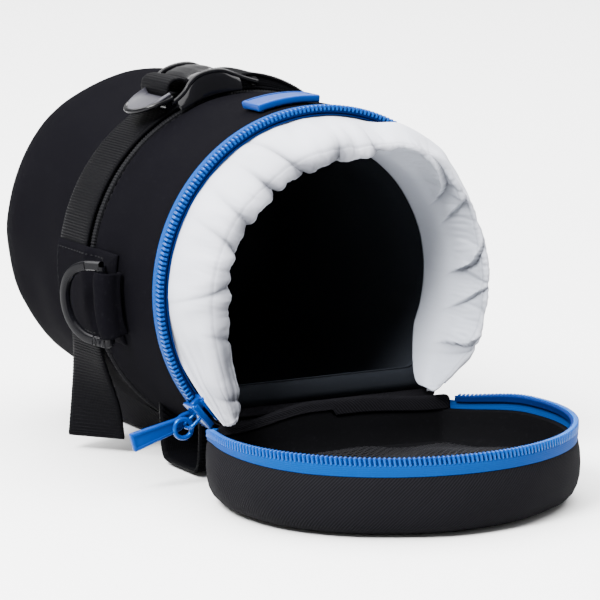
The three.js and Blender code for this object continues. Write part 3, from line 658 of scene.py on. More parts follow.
def build_body():
    front = [(height, FRONT_EDGE + behind) for height, behind in SHELL_FRONT] + [(0.0, y) for y in range(9, 58, 4)]
    groove = [(height, SEAM_PLACE + behind) for height, behind in SEAM_GROOVE]
    rear = [(rear_taper(y), y) for y in range(71, int(ROUNDING_START), 5)] + rear_corner(REAR_ROUNDING, 9)
    base = [(radius - BODY_RADIUS, BODY_LENGTH + bulge) for radius, bulge in BASE_BULGE]
    bm = spun(front + groove + rear + base, steps=240)
    for vert in bm.verts:
        out = outward(vert.co)
        if out.length > 1:
            calm = 0.2 + 0.8 * smoothstep(vert.co.y, 8, 30) * smoothstep(abs(vert.co.y - SEAM_PLACE), 0, 10)
            vert.co += out.normalized() * (cloth_ripple(vert.co, 1.1) - 0.35) * calm
        vert.co.z += axis_rise(vert.co.y)
        flatten_floor(vert.co)
    body = add_piece(
        "pouch_body", bm, body_cloth, "pouch", "shell",
        nodes=("front_shell", "rear_shell", "foam_sleeve", "base_foam", "seam_binding"),
    )


def build_seam():
    around = math.tau * BODY_RADIUS
    ribs = int(around / PIPING_PITCH)
    cord = mapped_grid(ribs * 4, 8, lambda u, v: piping_point(u, v, ribs), (around, 8.0))
    add_piece("seam_piping", cord, seam_cloth, "pouch", "webbing", sharp=80)
    for name, side in (("seam_stitch_front", -1), ("seam_stitch_rear", 1)):
        place = ring_point(BODY_RADIUS - 0.25, 0, SEAM_PLACE + side * SEAM_STITCH_OFFSET)
        stitch = block(SEAM_STITCH_SIZE, place, bevel=0.15, segments=1)
        spin_round(stitch, whole(stitch), 360 - 360 / SEAM_STITCHES, SEAM_STITCHES - 1, copies=True)
        for vert in stitch.verts:
            flatten_floor(vert.co)
        add_piece(name, stitch, thread, "pouch", "webbing")


def build_inside():
    facing = spun([(height, FRONT_EDGE + behind) for height, behind in FACING_SECTION], steps=160)
    for vert in facing.verts:
        flatten_floor(vert.co, BODY_RADIUS - outward(vert.co).length, 1.0)
    add_piece("mouth_trim", facing, grey_lining, "pouch", "lining", nodes=("mouth_facing",), thick=0.5)

    side = [(-LINING_DEPTH - 2.0 * smoothstep(y, SEAM_PLACE, ROUNDING_START), y) for y in range(12, 144, 6)]
    corner = rear_corner(REAR_ROUNDING - LINING_DEPTH, 10)
    start, end = (-LINING_DEPTH, FRONT_EDGE + 2.6), (-BODY_RADIUS, BODY_LENGTH - LINING_DEPTH)
    cup = spun([start, *side, *corner, end], steps=160)
    for vert in cup.verts:
        out = outward(vert.co)
        inset = BODY_RADIUS - out.length if vert.co.y < ROUNDING_START else LINING_DEPTH
        if out.length > 1:
            vert.co += out.normalized() * cloth_ripple(vert.co, 0.8)
        vert.co.z += axis_rise(vert.co.y)
        flatten_floor(vert.co, inset, 1.0)
    add_piece("lining_cup", cup, grey_lining, "pouch", "lining", nodes=("inner_lining",), thick=0.5)


# Drawstring collar

COLLAR_LEFT_END = 230.0
COLLAR_RIGHT_END = -48.0
# Sections from the root under the zipper, over the hem and back inside: height over the body's radius and y
COLLAR_SIDE = [
    (-1.6, 5.8), (-2.8, 5.0), (-3.3, 2.4), (-3.9, -2.0), (-5.4, -7.0), (-7.6, -12.0), (-10.2, -16.6), (-13.6, -19.6),
    (-17.0, -20.2), (-19.0, -18.2), (-18.4, -15.0), (-16.6, -11.0), (-15.0, -5.0), (-13.8, 2.0), (-13.4, 10.0),
    (-13.6, 20.0),
]
COLLAR_TOP = [
    (-1.6, 5.8), (-2.8, 5.0), (-3.4, 2.4), (-4.4, -2.0), (-6.4, -7.0), (-9.0, -12.0), (-12.0, -16.8), (-15.0, -19.6),
    (-17.8, -20.0), (-19.2, -17.8), (-18.6, -14.6), (-17.2, -10.4), (-15.6, -4.6), (-14.2, 2.0), (-13.6, 10.0),
    (-13.6, 20.0),
]
COLLAR_FLARE = [
    (-1.6, 5.8), (-3.0, 5.0), (-3.8, 2.4), (-4.2, -2.0), (-4.8, -7.0), (-5.5, -12.0), (-6.2, -16.8), (-7.0, -20.4),
    (-7.9, -21.2), (-8.6, -20.2), (-8.9, -16.6), (-9.6, -11.0), (-11.0, -4.6), (-13.0, 2.0), (-13.6, 10.0),
    (-13.6, 20.0),
]
# Shares of the way down the collar where its hem and the two seams of the hem's casing lie
HEM_SHARE = 8 / 15
CASING_SEAMS = (0.625, 0.44)
HEM_RADIUS = 50.0
HEM_LENGTH = 246.0
COLLAR_MAP = (270.0, 85.0)
# Where the gathered ends of the collar are bunched, just above the hinge
LEFT_BUNCH = Vector((-47.5, -15.0, 26.4))
RIGHT_BUNCH = Vector((41.5, -7.5, 29.4))
# Line that the ends of the collar draw together about: depth under the body's radius, and y
DRAW_DEPTH = 11.0
DRAW_PLACE = -8.0
# Long folds on the collar's right inner side: place along the hem, slant and depth
SWEEPS = [(155.0, 62.0, 2.2), (171.0, 34.0, 1.3), (187.0, 46.0, 1.8), (203.0, 28.0, 1.2), (219.0, 22.0, 1.4)]


def make_gathers():
    """Folds drawn up by the cord: place along the hem, slant, depth and reach towards root and inside"""
    rng = random.Random(11)
    gathers = []
    place = 4.0
    while place < HEM_LENGTH:
        depth = rng.uniform(0.9, 2.6)
        gathers.append((place, rng.uniform(-18, 18), depth, rng.uniform(0.08, 0.27), rng.uniform(0.12, 0.30)))
        place += rng.uniform(9.0, 18.0)
    return gathers


def collar_flare(angle):
    """How far the collar opens out, from 0 on the left and top to 1 on the right"""
    return smoothstep(angle, 88, 58)


def collar_section(angle, v):
    """Height over the body's radius and place along it, at a share of the way down the collar"""
    side, top, flare = (curve_point(points, v) for points in (COLLAR_SIDE, COLLAR_TOP, COLLAR_FLARE))
    to_top = smoothstep(angle, 175, 120)
    height, y = (mix(a, b, to_top) for a, b in zip(side, top))
    height, y = (mix(a, b, collar_flare(angle)) for a, b in zip((height, y), flare))
    swell = mix(1.2, 4.8, smoothstep(angle, -20, 55)) * smoothstep(angle, 74, 61)
    height += swell * bell(v, 0.24, 0.10)
    height += 2.2 * bell(angle, 47, 6) * bell(v, 0.40, 0.16)
    return BODY_RADIUS + height, y


def gather_push(gathers, length, v, flare):
    """Swell between the folds and the sharp fold line in each, in millimetres, and the share of painted shade along
    each fold line
    """
    push, crease_shade_share = 0.0, 0.0
    for place, slant, depth, root_reach, inner_reach in gathers:
        off = length - place - slant * (v - HEM_SHARE)
        if abs(off) > 9:
            continue
        depth *= 1 - 0.7 * flare
        share = bell(v, HEM_SHARE, root_reach if v < HEM_SHARE else inner_reach)
        line = abs(off + 0.5 * math.sin(v * 9 + place))
        push += share * depth * (0.6 * bell(abs(off), 3.4, 2.3) - 1.3 * math.exp(-line / 0.7))
        crease_shade_share += share * depth * (0.6 * math.exp(-line / 0.55) + 0.30 * math.exp(-line / 3.0))
    return push, crease_shade_share


def sweep_push(length, v, flare):
    """Long folds that lap over what lies below them, and the shade under each lap"""
    push, under = 0.0, 0.0
    reach = flare * smoothstep(v, 0.50, 0.62) * smoothstep(v, 0.90, 0.78)
    for place, slant, depth in SWEEPS:
        off = length - place - slant * (v - HEM_SHARE) - 1.2 * math.sin(v * 14 + place)
        if off < 0:
            push += depth * reach * math.exp(off / 7)
        else:
            push -= 0.35 * depth * reach * math.exp(-off / 2.5)
            under += reach * depth * (0.36 * math.exp(-off / 0.8) + 0.20 * math.exp(-off / 6))
    return push, under


def collar_drape(gathers, u, v):
    """Angle and push of the cloth at a point of the collar, with the share of painted shade there"""
    angle = mix(COLLAR_LEFT_END, COLLAR_RIGHT_END, u)
    flare = collar_flare(angle)
    length = math.radians(COLLAR_LEFT_END - angle) * HEM_RADIUS
    loose = smoothstep(v, 0.10, 0.32) * (1 - 0.55 * flare)
    push, fold_shade = gather_push(gathers, length, v, flare)
    lap, under = sweep_push(length, v, flare)
    push += lap
    # Broad swells, puckers and fine crumples, where the cloth hangs loose
    push += rumple(angle * 0.05, v * 3.0, 3.0) * 2.2 * loose
    push += rumple(angle * 0.16, v * 5.0, 8.0) * 1.3 * loose
    push += rumple(angle * 0.7, v * 12.0, 4.0) * 0.3 * smoothstep(v, 0.25, 0.5)
    # Long ridges that run down into the bunched left end
    tail = smoothstep(angle, 186, 214) * smoothstep(v, 0.04, 0.14)
    ridges = rumple(angle * 0.03, v * 19.0, 17.0)
    push += 2.8 * tail * ridges
    push *= 1 - 0.9 * smoothstep(v, 0.74, 0.88)
    # Seams of the hem's casing, and painted shade round the hem and in the furrows
    casing = sum(bell(v, seam, 0.008) for seam in CASING_SEAMS)
    patches = 0.7 + 0.8 * rumple(length * 0.09, v * 4.0, 31.0)
    hem_shade = patches * (1 - 0.6 * flare) * bell(v, HEM_SHARE - 0.01, 0.10)
    furrow_shade = tail * (0.15 + 2.0 * max(0.0, -ridges - 0.05))
    return angle, push - 0.35 * casing, min(fold_shade + under + 0.22 * casing + hem_shade + furrow_shade, 1.0)


def collar_place(gathers, u, v):
    """Point of the collar: its section, pushed square to the cloth, and drawn together at both ends"""
    angle, push, _ = collar_drape(gathers, u, v)
    radius, y = collar_section(angle, v)
    ahead = collar_section(angle, min(v + 0.012, 1.0))
    behind = collar_section(angle, max(v - 0.012, 0.0))
    run_r, run_y = ahead[0] - behind[0], ahead[1] - behind[1]
    run = math.hypot(run_r, run_y)
    point = ring_point(radius - run_y / run * push, angle, y + run_r / run * push)
    left, right = smoothstep(angle, 178, COLLAR_LEFT_END - 2), smoothstep(angle, -22, COLLAR_RIGHT_END)
    bunched = max(left, right)
    if bunched:
        middle = ring_point(BODY_RADIUS - DRAW_DEPTH, angle, DRAW_PLACE)
        aim = LEFT_BUNCH if left else RIGHT_BUNCH
        point = middle.lerp(aim, bunched**1.5) + (point - middle) * (1 - 0.78 * bunched)
    point.z = max(point.z, HINGE_HEIGHT + 0.8)
    return point


def build_collar():
    gathers = make_gathers()
    bm = mapped_grid(600, 104, lambda u, v: collar_place(gathers, u, v), COLLAR_MAP)
    cloth = bm.loops.layers.uv["cloth"]
    # Painted shade: each point keeps how far its colour is darkened along folds, under laps, round the hem and in
    # furrows, with darker lines at the casing seams
    fold_shade = bm.verts.layers.float.new("fold_shade")
    for vert in bm.verts:
        uv = vert.link_loops[0][cloth].uv
        vert[fold_shade] = collar_drape(gathers, uv.x / COLLAR_MAP[0], uv.y / COLLAR_MAP[1])[2]
    collar = add_piece(
        "gathered_collar", bm, pale_nylon, "pouch", "collar", nodes=("drawstring_collar",), thick=0.4, sharp=70
    )
    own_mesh(collar)


# Zipper

ZIP_PITCH = 1.75
# How far the zipper runs below level on either side
ZIP_END = SLIDER_ANGLE - 180
COIL_RADIUS = BODY_RADIUS - 0.7
TOOTH_SIZE = (2.2, 3.3, 1.0)
TOOTH_LEAN = 9
TOOTH_RADIUS = BODY_RADIUS - 0.5
TOOTH_OFFSET = 1.8
# Degrees from the slider's end of each side to its first tooth
FIRST_TOOTH = {"pouch": 6, "lid": 15}
# Sections on the mouth's side: height over the body's radius and distance from the zipper's middle
CORE_SECTION = [
    (-2.5, 1.2), (-2.2, 0.8), (-1.9, 0.7), (-1.4, 0.8), (-0.5, 0.9), (-0.2, 1.4), (-0.1, 3.2), (-2.3, 3.2),
]
CORE_LIP = [(-3.2, 3.2), (-3.2, 0.1), (-2.9, 0.2), (-2.9, 2.6)]
TAPE_SECTION = [(-1.0, 2.9), (-0.1, 3.0), (0.4, 3.5), (0.35, 5.4), (0.05, 7.2), (-1.0, 7.4)]
# Two welts that cover the first teeth of the lid, by the slider
END_WELTS = ((0.25, 1.5), (1.75, 3.1))
# Slider's two plates, their flanges and the post between them, sized outwards, along the body and round the mouth
SLIDER_RADIUS = BODY_RADIUS - 0.75
PLATE_SIZE = (1.8, 8.8, 12.4)
PLATE_OFFSET = 2.5
FLANGE_SIZE = (2.4, 1.2, 11.0)
FLANGE_OFFSET = 1.85
FLANGE_EDGE = 4.0
POST_SIZE = (4.6, 3.0, 4.6)
POST_PLACE = (SLIDER_RADIUS, -0.4, -3.6)
# Crown that holds the pull ring: height over the slider's middle and place along the body
CROWN_ARCH = ((3.1, -2.9), (6.3, -3.1), (8.3, -2.6), (8.9, 0), (8.3, 2.6), (6.3, 3.1), (3.1, 2.9))
CROWN_WIRE = 0.75
CROWN_PIVOT = BODY_RADIUS + 7.85
PULLER_REST_ANGLE = 25
PULL_RING_RADIUS = 3.6
PULL_RING_WIRE = 0.95
# Rubber grip, with the cuts where it bends to the ring
GRIP_SIZE = (27.6, 2.4, 6.6)
GRIP_CUTS = (-10.5, -9.0, -7.5, -6.0)
GRIP_START = -5.1


def teeth_row(start, sweep, side):
    """Row of coil turns round the mouth, each a rounded ridge"""
    count = int(math.radians(abs(sweep)) * COIL_RADIUS / ZIP_PITCH)
    tooth = block(TOOTH_SIZE, bevel=0.42)
    lean = Matrix.Rotation(math.radians(-TOOTH_LEAN * side), 3, "X")
    bmesh.ops.rotate(tooth, cent=(0, 0, 0), matrix=lean, verts=tooth.verts)
    bmesh.ops.translate(tooth, vec=ring_point(TOOTH_RADIUS, 0, side * TOOTH_OFFSET), verts=tooth.verts)
    bmesh.ops.rotate(
        tooth, cent=(0, 0, 0), matrix=Matrix.Rotation(math.radians(-start), 3, "Y"), verts=tooth.verts,
        space=Matrix.Translation((0, 0, -AXIS_HEIGHT)),
    )
    spin_round(tooth, whole(tooth), sweep, count, copies=True)
    return tooth


def zip_strip(section, side, past_left, past_right):
    """Closed strip along one side of the zipper, that runs past its ends by some degrees"""
    profile = [(height, side * off) for height, off in section]
    sweep = 180 + 2 * ZIP_END + past_left + past_right
    return spun(profile, 180 + ZIP_END + past_left, -sweep, steps=190, closed=True)


def build_zip_side(body):
    lid = body == "lid"
    side = -1 if lid else 1
    first = 180 + ZIP_END - FIRST_TOOTH[body]
    teeth = teeth_row(first, 1 - ZIP_END - first, side)
    add_piece(f"{body}_teeth", teeth, blue_teeth, body, "zip_teeth", nodes=(f"{body}_zip_coil",), lid=lid, sharp=60)
    core = zip_strip(CORE_SECTION + ([] if lid else CORE_LIP), side, -4, 0)
    add_piece(f"{body}_core", core, shaded_blue_core, body, "zip_teeth", lid=lid)
    tape = zip_strip(TAPE_SECTION, side, 2, 2)
    add_piece(f"{body}_tape", tape, blue_tape, body, "zip_tape", nodes=(f"{body}_zip_tape",), lid=lid)


def build_zip_ends():
    welts = bmesh.new()
    for low, high in END_WELTS:
        profile = [(-1.6, -low), (0.5, -low), (0.75, -(low + high) / 2), (0.5, -high), (-1.6, -high)]
        merge_bmesh(welts, spun(profile, 181 + ZIP_END, -17.0, 20, closed=True))
    add_piece("lid_zip_ends", welts, blue_tape, "lid", "zip_tape", lid=True)


def build_slider():
    place = turned_frame((0, 0, AXIS_HEIGHT), SLIDER_ANGLE)
    slider = bmesh.new()
    for side in (-1, 1):
        plate_place = (SLIDER_RADIUS + side * PLATE_OFFSET, 0, 0)
        merge_bmesh(slider, block(PLATE_SIZE, plate_place, bevel=0.75, segments=4))
        for edge in (-FLANGE_EDGE, FLANGE_EDGE):
            flange_place = (SLIDER_RADIUS + side * FLANGE_OFFSET, edge, 0)
            merge_bmesh(slider, block(FLANGE_SIZE, flange_place, bevel=0.4))
    for vert in slider.verts:
        vert.co.y *= mix(1.0, 0.84, smoothstep(vert.co.z, 0.5, 6.5))
    merge_bmesh(slider, block(POST_SIZE, POST_PLACE, bevel=0.6))
    arch = [(SLIDER_RADIUS + rise, along, 0) for rise, along in CROWN_ARCH]
    merge_bmesh(slider, tube(arch, CROWN_WIRE, 10, 36))
    bmesh.ops.transform(slider, matrix=place, verts=slider.verts)
    add_piece("slider_body", slider, blue_paint, "slider", "slider", nodes=("zip_slider",))
    rest = Matrix.Rotation(math.radians(PULLER_REST_ANGLE), 4, "Y")
    build_puller(place @ Matrix.Translation((CROWN_PIVOT, 0, 0)) @ rest)


def build_puller(swing):
    turns = [math.radians(turn) for turn in range(0, 360, 20)]
    loop = [(1.7 + PULL_RING_RADIUS * math.cos(turn), 0, PULL_RING_RADIUS * math.sin(turn)) for turn in turns]
    ring = tube(loop, PULL_RING_WIRE, 12, 48, closed=True)
    bmesh.ops.transform(ring, matrix=swing, verts=ring.verts)
    add_piece("puller_ring", ring, blue_paint, "puller", "slider", nodes=("pull_ring",))

    grip = block(GRIP_SIZE, bevel=0.7, segments=3)
    front = max(grip.faces, key=lambda face: -face.calc_center_median().y)
    sink_face(grip, front, rim=0.7, slope=0.2, depth=0.4)
    for cut in GRIP_CUTS:
        bmesh.ops.bisect_plane(grip, geom=whole(grip), plane_co=(cut, 0, 0), plane_no=(1, 0, 0), dist=0.0001)
    for vert in grip.verts:
        vert.co.z *= mix(0.70, 1.12, smoothstep(vert.co.x, -12, 12))
        vert.co.y += 3.0 * smoothstep(vert.co.x, -6.0, -10.5)
    bmesh.ops.translate(grip, vec=(GRIP_START + GRIP_SIZE[0] / 2, 2.2, -1.6), verts=grip.verts)
    bmesh.ops.transform(grip, matrix=swing, verts=grip.verts)
    add_piece("puller_grip", grip, blue_rubber, "puller", "badge_rubber", nodes=("puller_tab",))


# Webbing

RIB_PITCH = 1.12
RIB_DEPTH = 0.36
WEBBING_STEP = 0.28
WEBBING_THICK = 1.1
WEBBING_EDGE_DROP = 0.35
STRAP_RADIUS = BODY_RADIUS + 0.5
STRAP_TOP = 1.15
# Angles at which each strap starts by the buckle and ends
LEFT_STRAP_SPAN = (112, 200)
RIGHT_STRAP_SPAN = (98, -6)
# How the right strap lifts off the body on its way into the buckle: height and angle
STRAP_LIFT = ((4.0, 104), (6.0, 96), (6.8, 89), (6.6, 84), (5.6, 78), (4.2, 72), (2.6, 66), (1.75, 61))
FOLD_OFFSET = 11.6
# Free end of the left strap: angles where it leaves the body, its way down from there, and how it twists
TAIL_ANGLES = (196, 201.8)
TAIL_DROPS = ((1.4, 0, -9), (2.8, 0, -19), (3.8, -0.2, -29), (3.8, -0.6, -40.0))
TAIL_TWIST = [0, 0, -5, -15, -27, -37]


def webbing(length, width, place):
    """Ribbed webbing: place(u, v, lift) says where a point of it goes"""

    def ribbed(u, v):
        rib = RIB_DEPTH * abs(math.sin(math.pi * u * length / RIB_PITCH)) ** 0.8
        return place(u, v, rib - WEBBING_EDGE_DROP * abs(2 * v - 1) ** 10)

    return mapped_grid(int(length / WEBBING_STEP), 14, ribbed, (length, width))


def strap_arc(start, end):
    """Webbing round the body between two angles"""

    def place(u, v, lift):
        radius = STRAP_RADIUS + STRAP_TOP + lift
        return ring_point(radius, mix(start, end, u), STRAP_MIDDLE + (v - 0.5) * WEBBING_WIDTH)

    return webbing(math.radians(abs(end - start)) * STRAP_RADIUS, WEBBING_WIDTH, place)


def ribbon(path, turns, width=WEBBING_WIDTH, settle=None):
    """Webbing along a path; turns gives the direction across it, in degrees about Z from +Y"""
    points = [Vector(p) for p in path]
    turn_points = [(turn,) for turn in turns]

    def place(u, v, lift):
        centre = Vector(curve_point(points, u))
        turn = math.radians(curve_point(turn_points, u)[0])
        across = Vector((math.sin(turn), math.cos(turn), 0))
        ahead = Vector(curve_point(points, min(u + 0.01, 1))) - Vector(curve_point(points, max(u - 0.01, 0)))
        point = centre + across * (v - 0.5) * width + across.cross(ahead.normalized()).normalized() * lift
        if settle:
            settle(centre, point)
        return point

    return webbing(sum((b - a).length for a, b in zip(points, points[1:])), width, place)


def add_webbing(name, bm, body="pouch", **options):
    add_piece(name, bm, webbing_cloth, body, "webbing", thick=WEBBING_THICK, sharp=80, **options)


def build_lift_fold(name, side):
    """Side of the fold under the lifted strap"""

    def fold(u, v):
        rise, angle = curve_point(STRAP_LIFT, u)
        bulge = 0.8 * math.sin(math.pi * v) * side
        return ring_point(BODY_RADIUS + mix(-0.6, rise - 0.3, v), angle, STRAP_MIDDLE + side * FOLD_OFFSET + bulge)

    wall = mapped_grid(50, 8, fold, (46, 6))
    add_piece(f"strap_right_fold_{name}", wall, webbing_cloth, "pouch", "webbing", thick=0.8)


def build_straps():
    add_webbing("strap_left_band", strap_arc(*LEFT_STRAP_SPAN), nodes=("strap_left",))
    add_webbing("strap_right_band", strap_arc(*RIGHT_STRAP_SPAN), nodes=("strap_right",))
    lifted = [ring_point(BODY_RADIUS + rise, angle, STRAP_MIDDLE) for rise, angle in STRAP_LIFT]
    add_webbing("strap_right_lift", ribbon(lifted, [0] * len(lifted)))
    build_lift_fold("front", -1)
    build_lift_fold("rear", 1)
    start, top = (ring_point(BODY_RADIUS + 1.8, angle, STRAP_MIDDLE) for angle in TAIL_ANGLES)
    tail = ribbon([start, top, *(top + Vector(drop) for drop in TAIL_DROPS)], TAIL_TWIST)
    add_webbing("strap_tail_band", tail, nodes=("strap_tail",))


# D-rings and their tabs

TAB_ANGLE = 185.02
TAB_FRONT = 37.8
TAB_LENGTH = 54.0
TAB_HALF = math.degrees(18 / BODY_RADIUS)
RING_PIVOT = BODY_RADIUS + 6.1
ROLL_HALF = math.degrees(12.6 / RING_PIVOT)
# Section of the fold that holds the ring: height over the body's radius and distance from the tab's front
ROLL_SECTION = [
    (1.8, 12.0), (3.6, 7.6), (5.4, 5.2), (8.2, 4.0), (10.2, 1.4), (10.4, -2.0),
    (8.8, -4.6), (6.0, -5.4), (3.4, -5.0), (1.2, -4.6), (0.6, -1.0),
]
RING_HALF = 15.0
RING_DEPTH = 23.0
RING_WIRE = 2.0
RING_FLAT = 1.45
RING_REST_ANGLE = -18


def build_ring_tab(name, side):
    middle = TAB_ANGLE if side < 0 else 180 - TAB_ANGLE

    def patch_angle(u):
        return mix(middle - TAB_HALF, middle + TAB_HALF, u)

    def patch_point(u, v):
        edge = max(abs(2 * u - 1) ** 14, abs(2 * v - 1) ** 20)
        lift = 0.9 * (1 - edge) + 0.2 * rumple(u * 3, v * 4, side)
        y = mix(TAB_FRONT + 2.0, TAB_FRONT + TAB_LENGTH, v)
        off_seam = 0.35 * bell(y, SEAM_PLACE, 4)
        off_body = mix(0.5, 2.3, smoothstep(y, SEAM_PLACE - 9, SEAM_PLACE - 1))
        return ring_point(BODY_RADIUS + off_body + lift + off_seam, patch_angle(u), y)

    def roll_point(u, v):
        height, off = curve_point(ROLL_SECTION, v)
        sag = 0.3 * rumple(u * 4, v * 3, 5 + side) - 0.5 * abs(2 * u - 1) ** 6
        return ring_point(BODY_RADIUS + height + sag, mix(middle - ROLL_HALF, middle + ROLL_HALF, u), TAB_FRONT + off)

    patch = mapped_grid(36, 60, patch_point, (36, 52))
    add_piece(f"ring_patch_{name}", patch, body_cloth, "pouch", "shell", nodes=(f"ring_tab_{name}",), thick=1.0)
    roll = mapped_grid(30, 44, roll_point, (26, 30))
    add_piece(f"ring_roll_{name}", roll, body_cloth, "pouch", "shell", thick=1.2)

    stitches = bmesh.new()
    for u, v, size in patch_stitches():
        stitch = block(size, bevel=0.15, segments=1)
        spot = turned_frame(patch_point(u, v), patch_angle(u))
        bmesh.ops.transform(stitch, matrix=spot, verts=stitch.verts)
        merge_bmesh(stitches, stitch)
    add_piece(f"ring_patch_stitch_{name}", stitches, thread, "pouch", "webbing")
    build_ring(name, middle)


def patch_stitches():
    """Stitches round a ring patch: their places u and v, and their size"""
    round_body, along_body = (0.45, 0.5, 2.0), (0.45, 2.0, 0.5)
    rows = [(0.10 + 0.08 * k, v, round_body) for k in range(11) for v in (0.20, 0.95)]
    rows += [(u, 0.22 + 0.053 * k, along_body) for k in range(14) for u in (0.08, 0.92)]
    return rows


def build_ring(name, middle):
    path = [(0, 0, -RING_HALF * (1 - 2 * k / 6)) for k in range(7)]
    for k in range(1, 22):
        turn = math.pi * k / 22
        path.append((0, RING_DEPTH * math.sin(turn) ** 0.62, RING_HALF * math.cos(turn)))
    bm = tube(path, RING_WIRE, 14, 160, closed=True)
    for vert in bm.verts:
        vert.co.x = max(min(vert.co.x, RING_FLAT), -RING_FLAT)
    hanging = Matrix.Rotation(math.radians(RING_REST_ANGLE), 4, "Z")
    place = turned_frame(ring_point(RING_PIVOT, middle, TAB_FRONT), middle) @ hanging
    bmesh.ops.transform(bm, matrix=place, verts=bm.verts)
    add_piece(f"carry_ring_{name}", bm, ring_plastic, f"ring_{name}", "ring", nodes=(f"d_ring_{name}",))


# Buckle

BUCKLE_ANGLE = 105.0
BUCKLE_SEAT = BODY_RADIUS + 2.1
# Side rails: place along the strap and height, low at the thumb tab, then a swell over the bars
RAIL_HEIGHTS = [
    (14.0, 2.6), (11.0, 3.0), (7.6, 4.2), (4.4, 6.2), (1.2, 7.6), (-2.4, 8.0), (-6.0, 7.8), (-9.5, 7.0), (-13.0, 5.2),
    (-17.0, 3.2), (-23.0, 1.4),
]
# Cross bars: place along the strap, height and radius
BUCKLE_BARS = ((15.4, 2.0, 1.5), (-22.0, 1.9, 1.7))
RAIL_RADIUS = 1.15
HOOD_HALF = 14.8
HOOD_BEND = 0.82
HOOD_THICK = 1.0
# Thumb tab, and the rim round it: start along the strap, reach and half width
THUMB_TAB = (13.2, 12.8, 11.0)
THUMB_RIM = (13.0, 13.4, 11.4)
THUMB_MIDDLE = -4.6
THUMB_LIFT = 4.6
# Webbing rolled over the bars inside the buckle: place along the strap and height
LOOP_ROLL = ((3.6, 0.6), (3.2, 4.2), (4.4, 7.8), (7.6, 9.9), (11.0, 9.4), (12.9, 6.6), (13.2, 3.4), (12.6, 0.8))
LOOP_WIDTH = 24.6


def buckle_point(along, across, lift):
    """Point on the buckle: along the strap towards its left end, across it and above the strap"""
    return ring_point(BUCKLE_SEAT + lift, BUCKLE_ANGLE + math.degrees(along / BUCKLE_SEAT), STRAP_MIDDLE + across)


def rail_height(along):
    for (a, high_a), (b, high_b) in zip(RAIL_HEIGHTS, RAIL_HEIGHTS[1:]):
        if along >= b:
            return mix(high_b, high_a, smoothstep(along, b, a) * 0.3 + 0.7 * min((along - b) / (a - b), 1.0))
    return RAIL_HEIGHTS[-1][1]


def hood_point(u, v):
    """Hood over the bars: a shallow arch between the rails, with sides that come down outside them"""
    across = mix(-1.0, 1.0, v)
    start = mix(3.0, 12.5, smoothstep(abs(across), 0.72, 0.9))
    along = mix(start, -15.0, u)
    high = rail_height(along)
    if abs(across) > HOOD_BEND:
        share = (abs(across) - HOOD_BEND) / (1 - HOOD_BEND)
        wide = mix(18.0, 16.0, smoothstep(high, 3, 9))
        lift = mix(high, 0.2, share**1.5)
        reach = math.copysign(mix(HOOD_HALF, wide + 1.2, share**0.6), across)
    else:
        share = abs(across) / HOOD_BEND
        lift = high + 0.9 * (1 - share**2) - 1.1 * bell(share, 0.95, 0.12)
        reach = across / HOOD_BEND * HOOD_HALF
    dip = 1.5 * bell(along, -9, 4.5) * bell(reach, -8, 4.5)
    return buckle_point(along, reach, lift - dip)


def thumb_point(u, v):
    """Rounded tab for the thumb, that rises away from the strap"""
    start, reach, half = THUMB_TAB
    turn = math.radians(mix(-90, 90, v))
    along = start + reach * u * math.cos(turn) ** 0.75
    across = THUMB_MIDDLE + half * math.sin(turn) * (0.9 + 0.1 * u)
    return buckle_point(along, across, THUMB_LIFT + 2.6 * u)


def thumb_rim_point(share):
    start, reach, half = THUMB_RIM
    turn = math.radians(mix(-96, 96, share))
    out = max(math.cos(turn), 0.0)
    return buckle_point(start + reach * out**0.75, THUMB_MIDDLE + half * math.sin(turn), THUMB_LIFT + 2.4 * out)


def build_buckle():
    bm = bmesh.new()
    for side in (-1, 1):
        rail = [
            buckle_point(along, side * mix(15.6, 14.6, smoothstep(lift, 3, 9)), lift) for along, lift in RAIL_HEIGHTS
        ]
        merge_bmesh(bm, tube(rail, RAIL_RADIUS, 12, 90))
    for along, lift, thick in BUCKLE_BARS:
        bar = [buckle_point(along, across, lift) for across in (-15, -7.5, 0, 7.5, 15)]
        merge_bmesh(bm, tube(bar, thick, 12, 24))
    hood = mapped_grid(60, 64, hood_point, (24, 34))
    bmesh.ops.solidify(hood, geom=whole(hood), thickness=HOOD_THICK)
    merge_bmesh(bm, hood)
    add_piece("buckle_frame", bm, black_gloss, "buckle", "buckle", nodes=("ladder_lock",), sharp=50)

    thumb = mapped_grid(24, 40, thumb_point, (16, 21))
    bmesh.ops.remove_doubles(thumb, verts=thumb.verts, dist=0.01)
    # The thumb tab's lighter grey is a painted reflection
    add_piece("buckle_thumb_tab", thumb, thumb_painted_reflection, "buckle", "buckle", thick=1.4, sharp=50)
    rim = tube([thumb_rim_point(k / 16) for k in range(17)], 1.1, 12, 90)
    add_piece("buckle_thumb_rim", rim, black_gloss, "buckle", "buckle")
    roll = ribbon([buckle_point(along, 0, lift) for along, lift in LOOP_ROLL], [0] * len(LOOP_ROLL), LOOP_WIDTH)
    add_webbing("buckle_webbing", roll, body="buckle", nodes=("webbing_loop",))


# Badge

BADGE_SIZE = (26.0, 15, 3.0)
BADGE_ANGLE = 95
BADGE_MIDDLE = 21.7


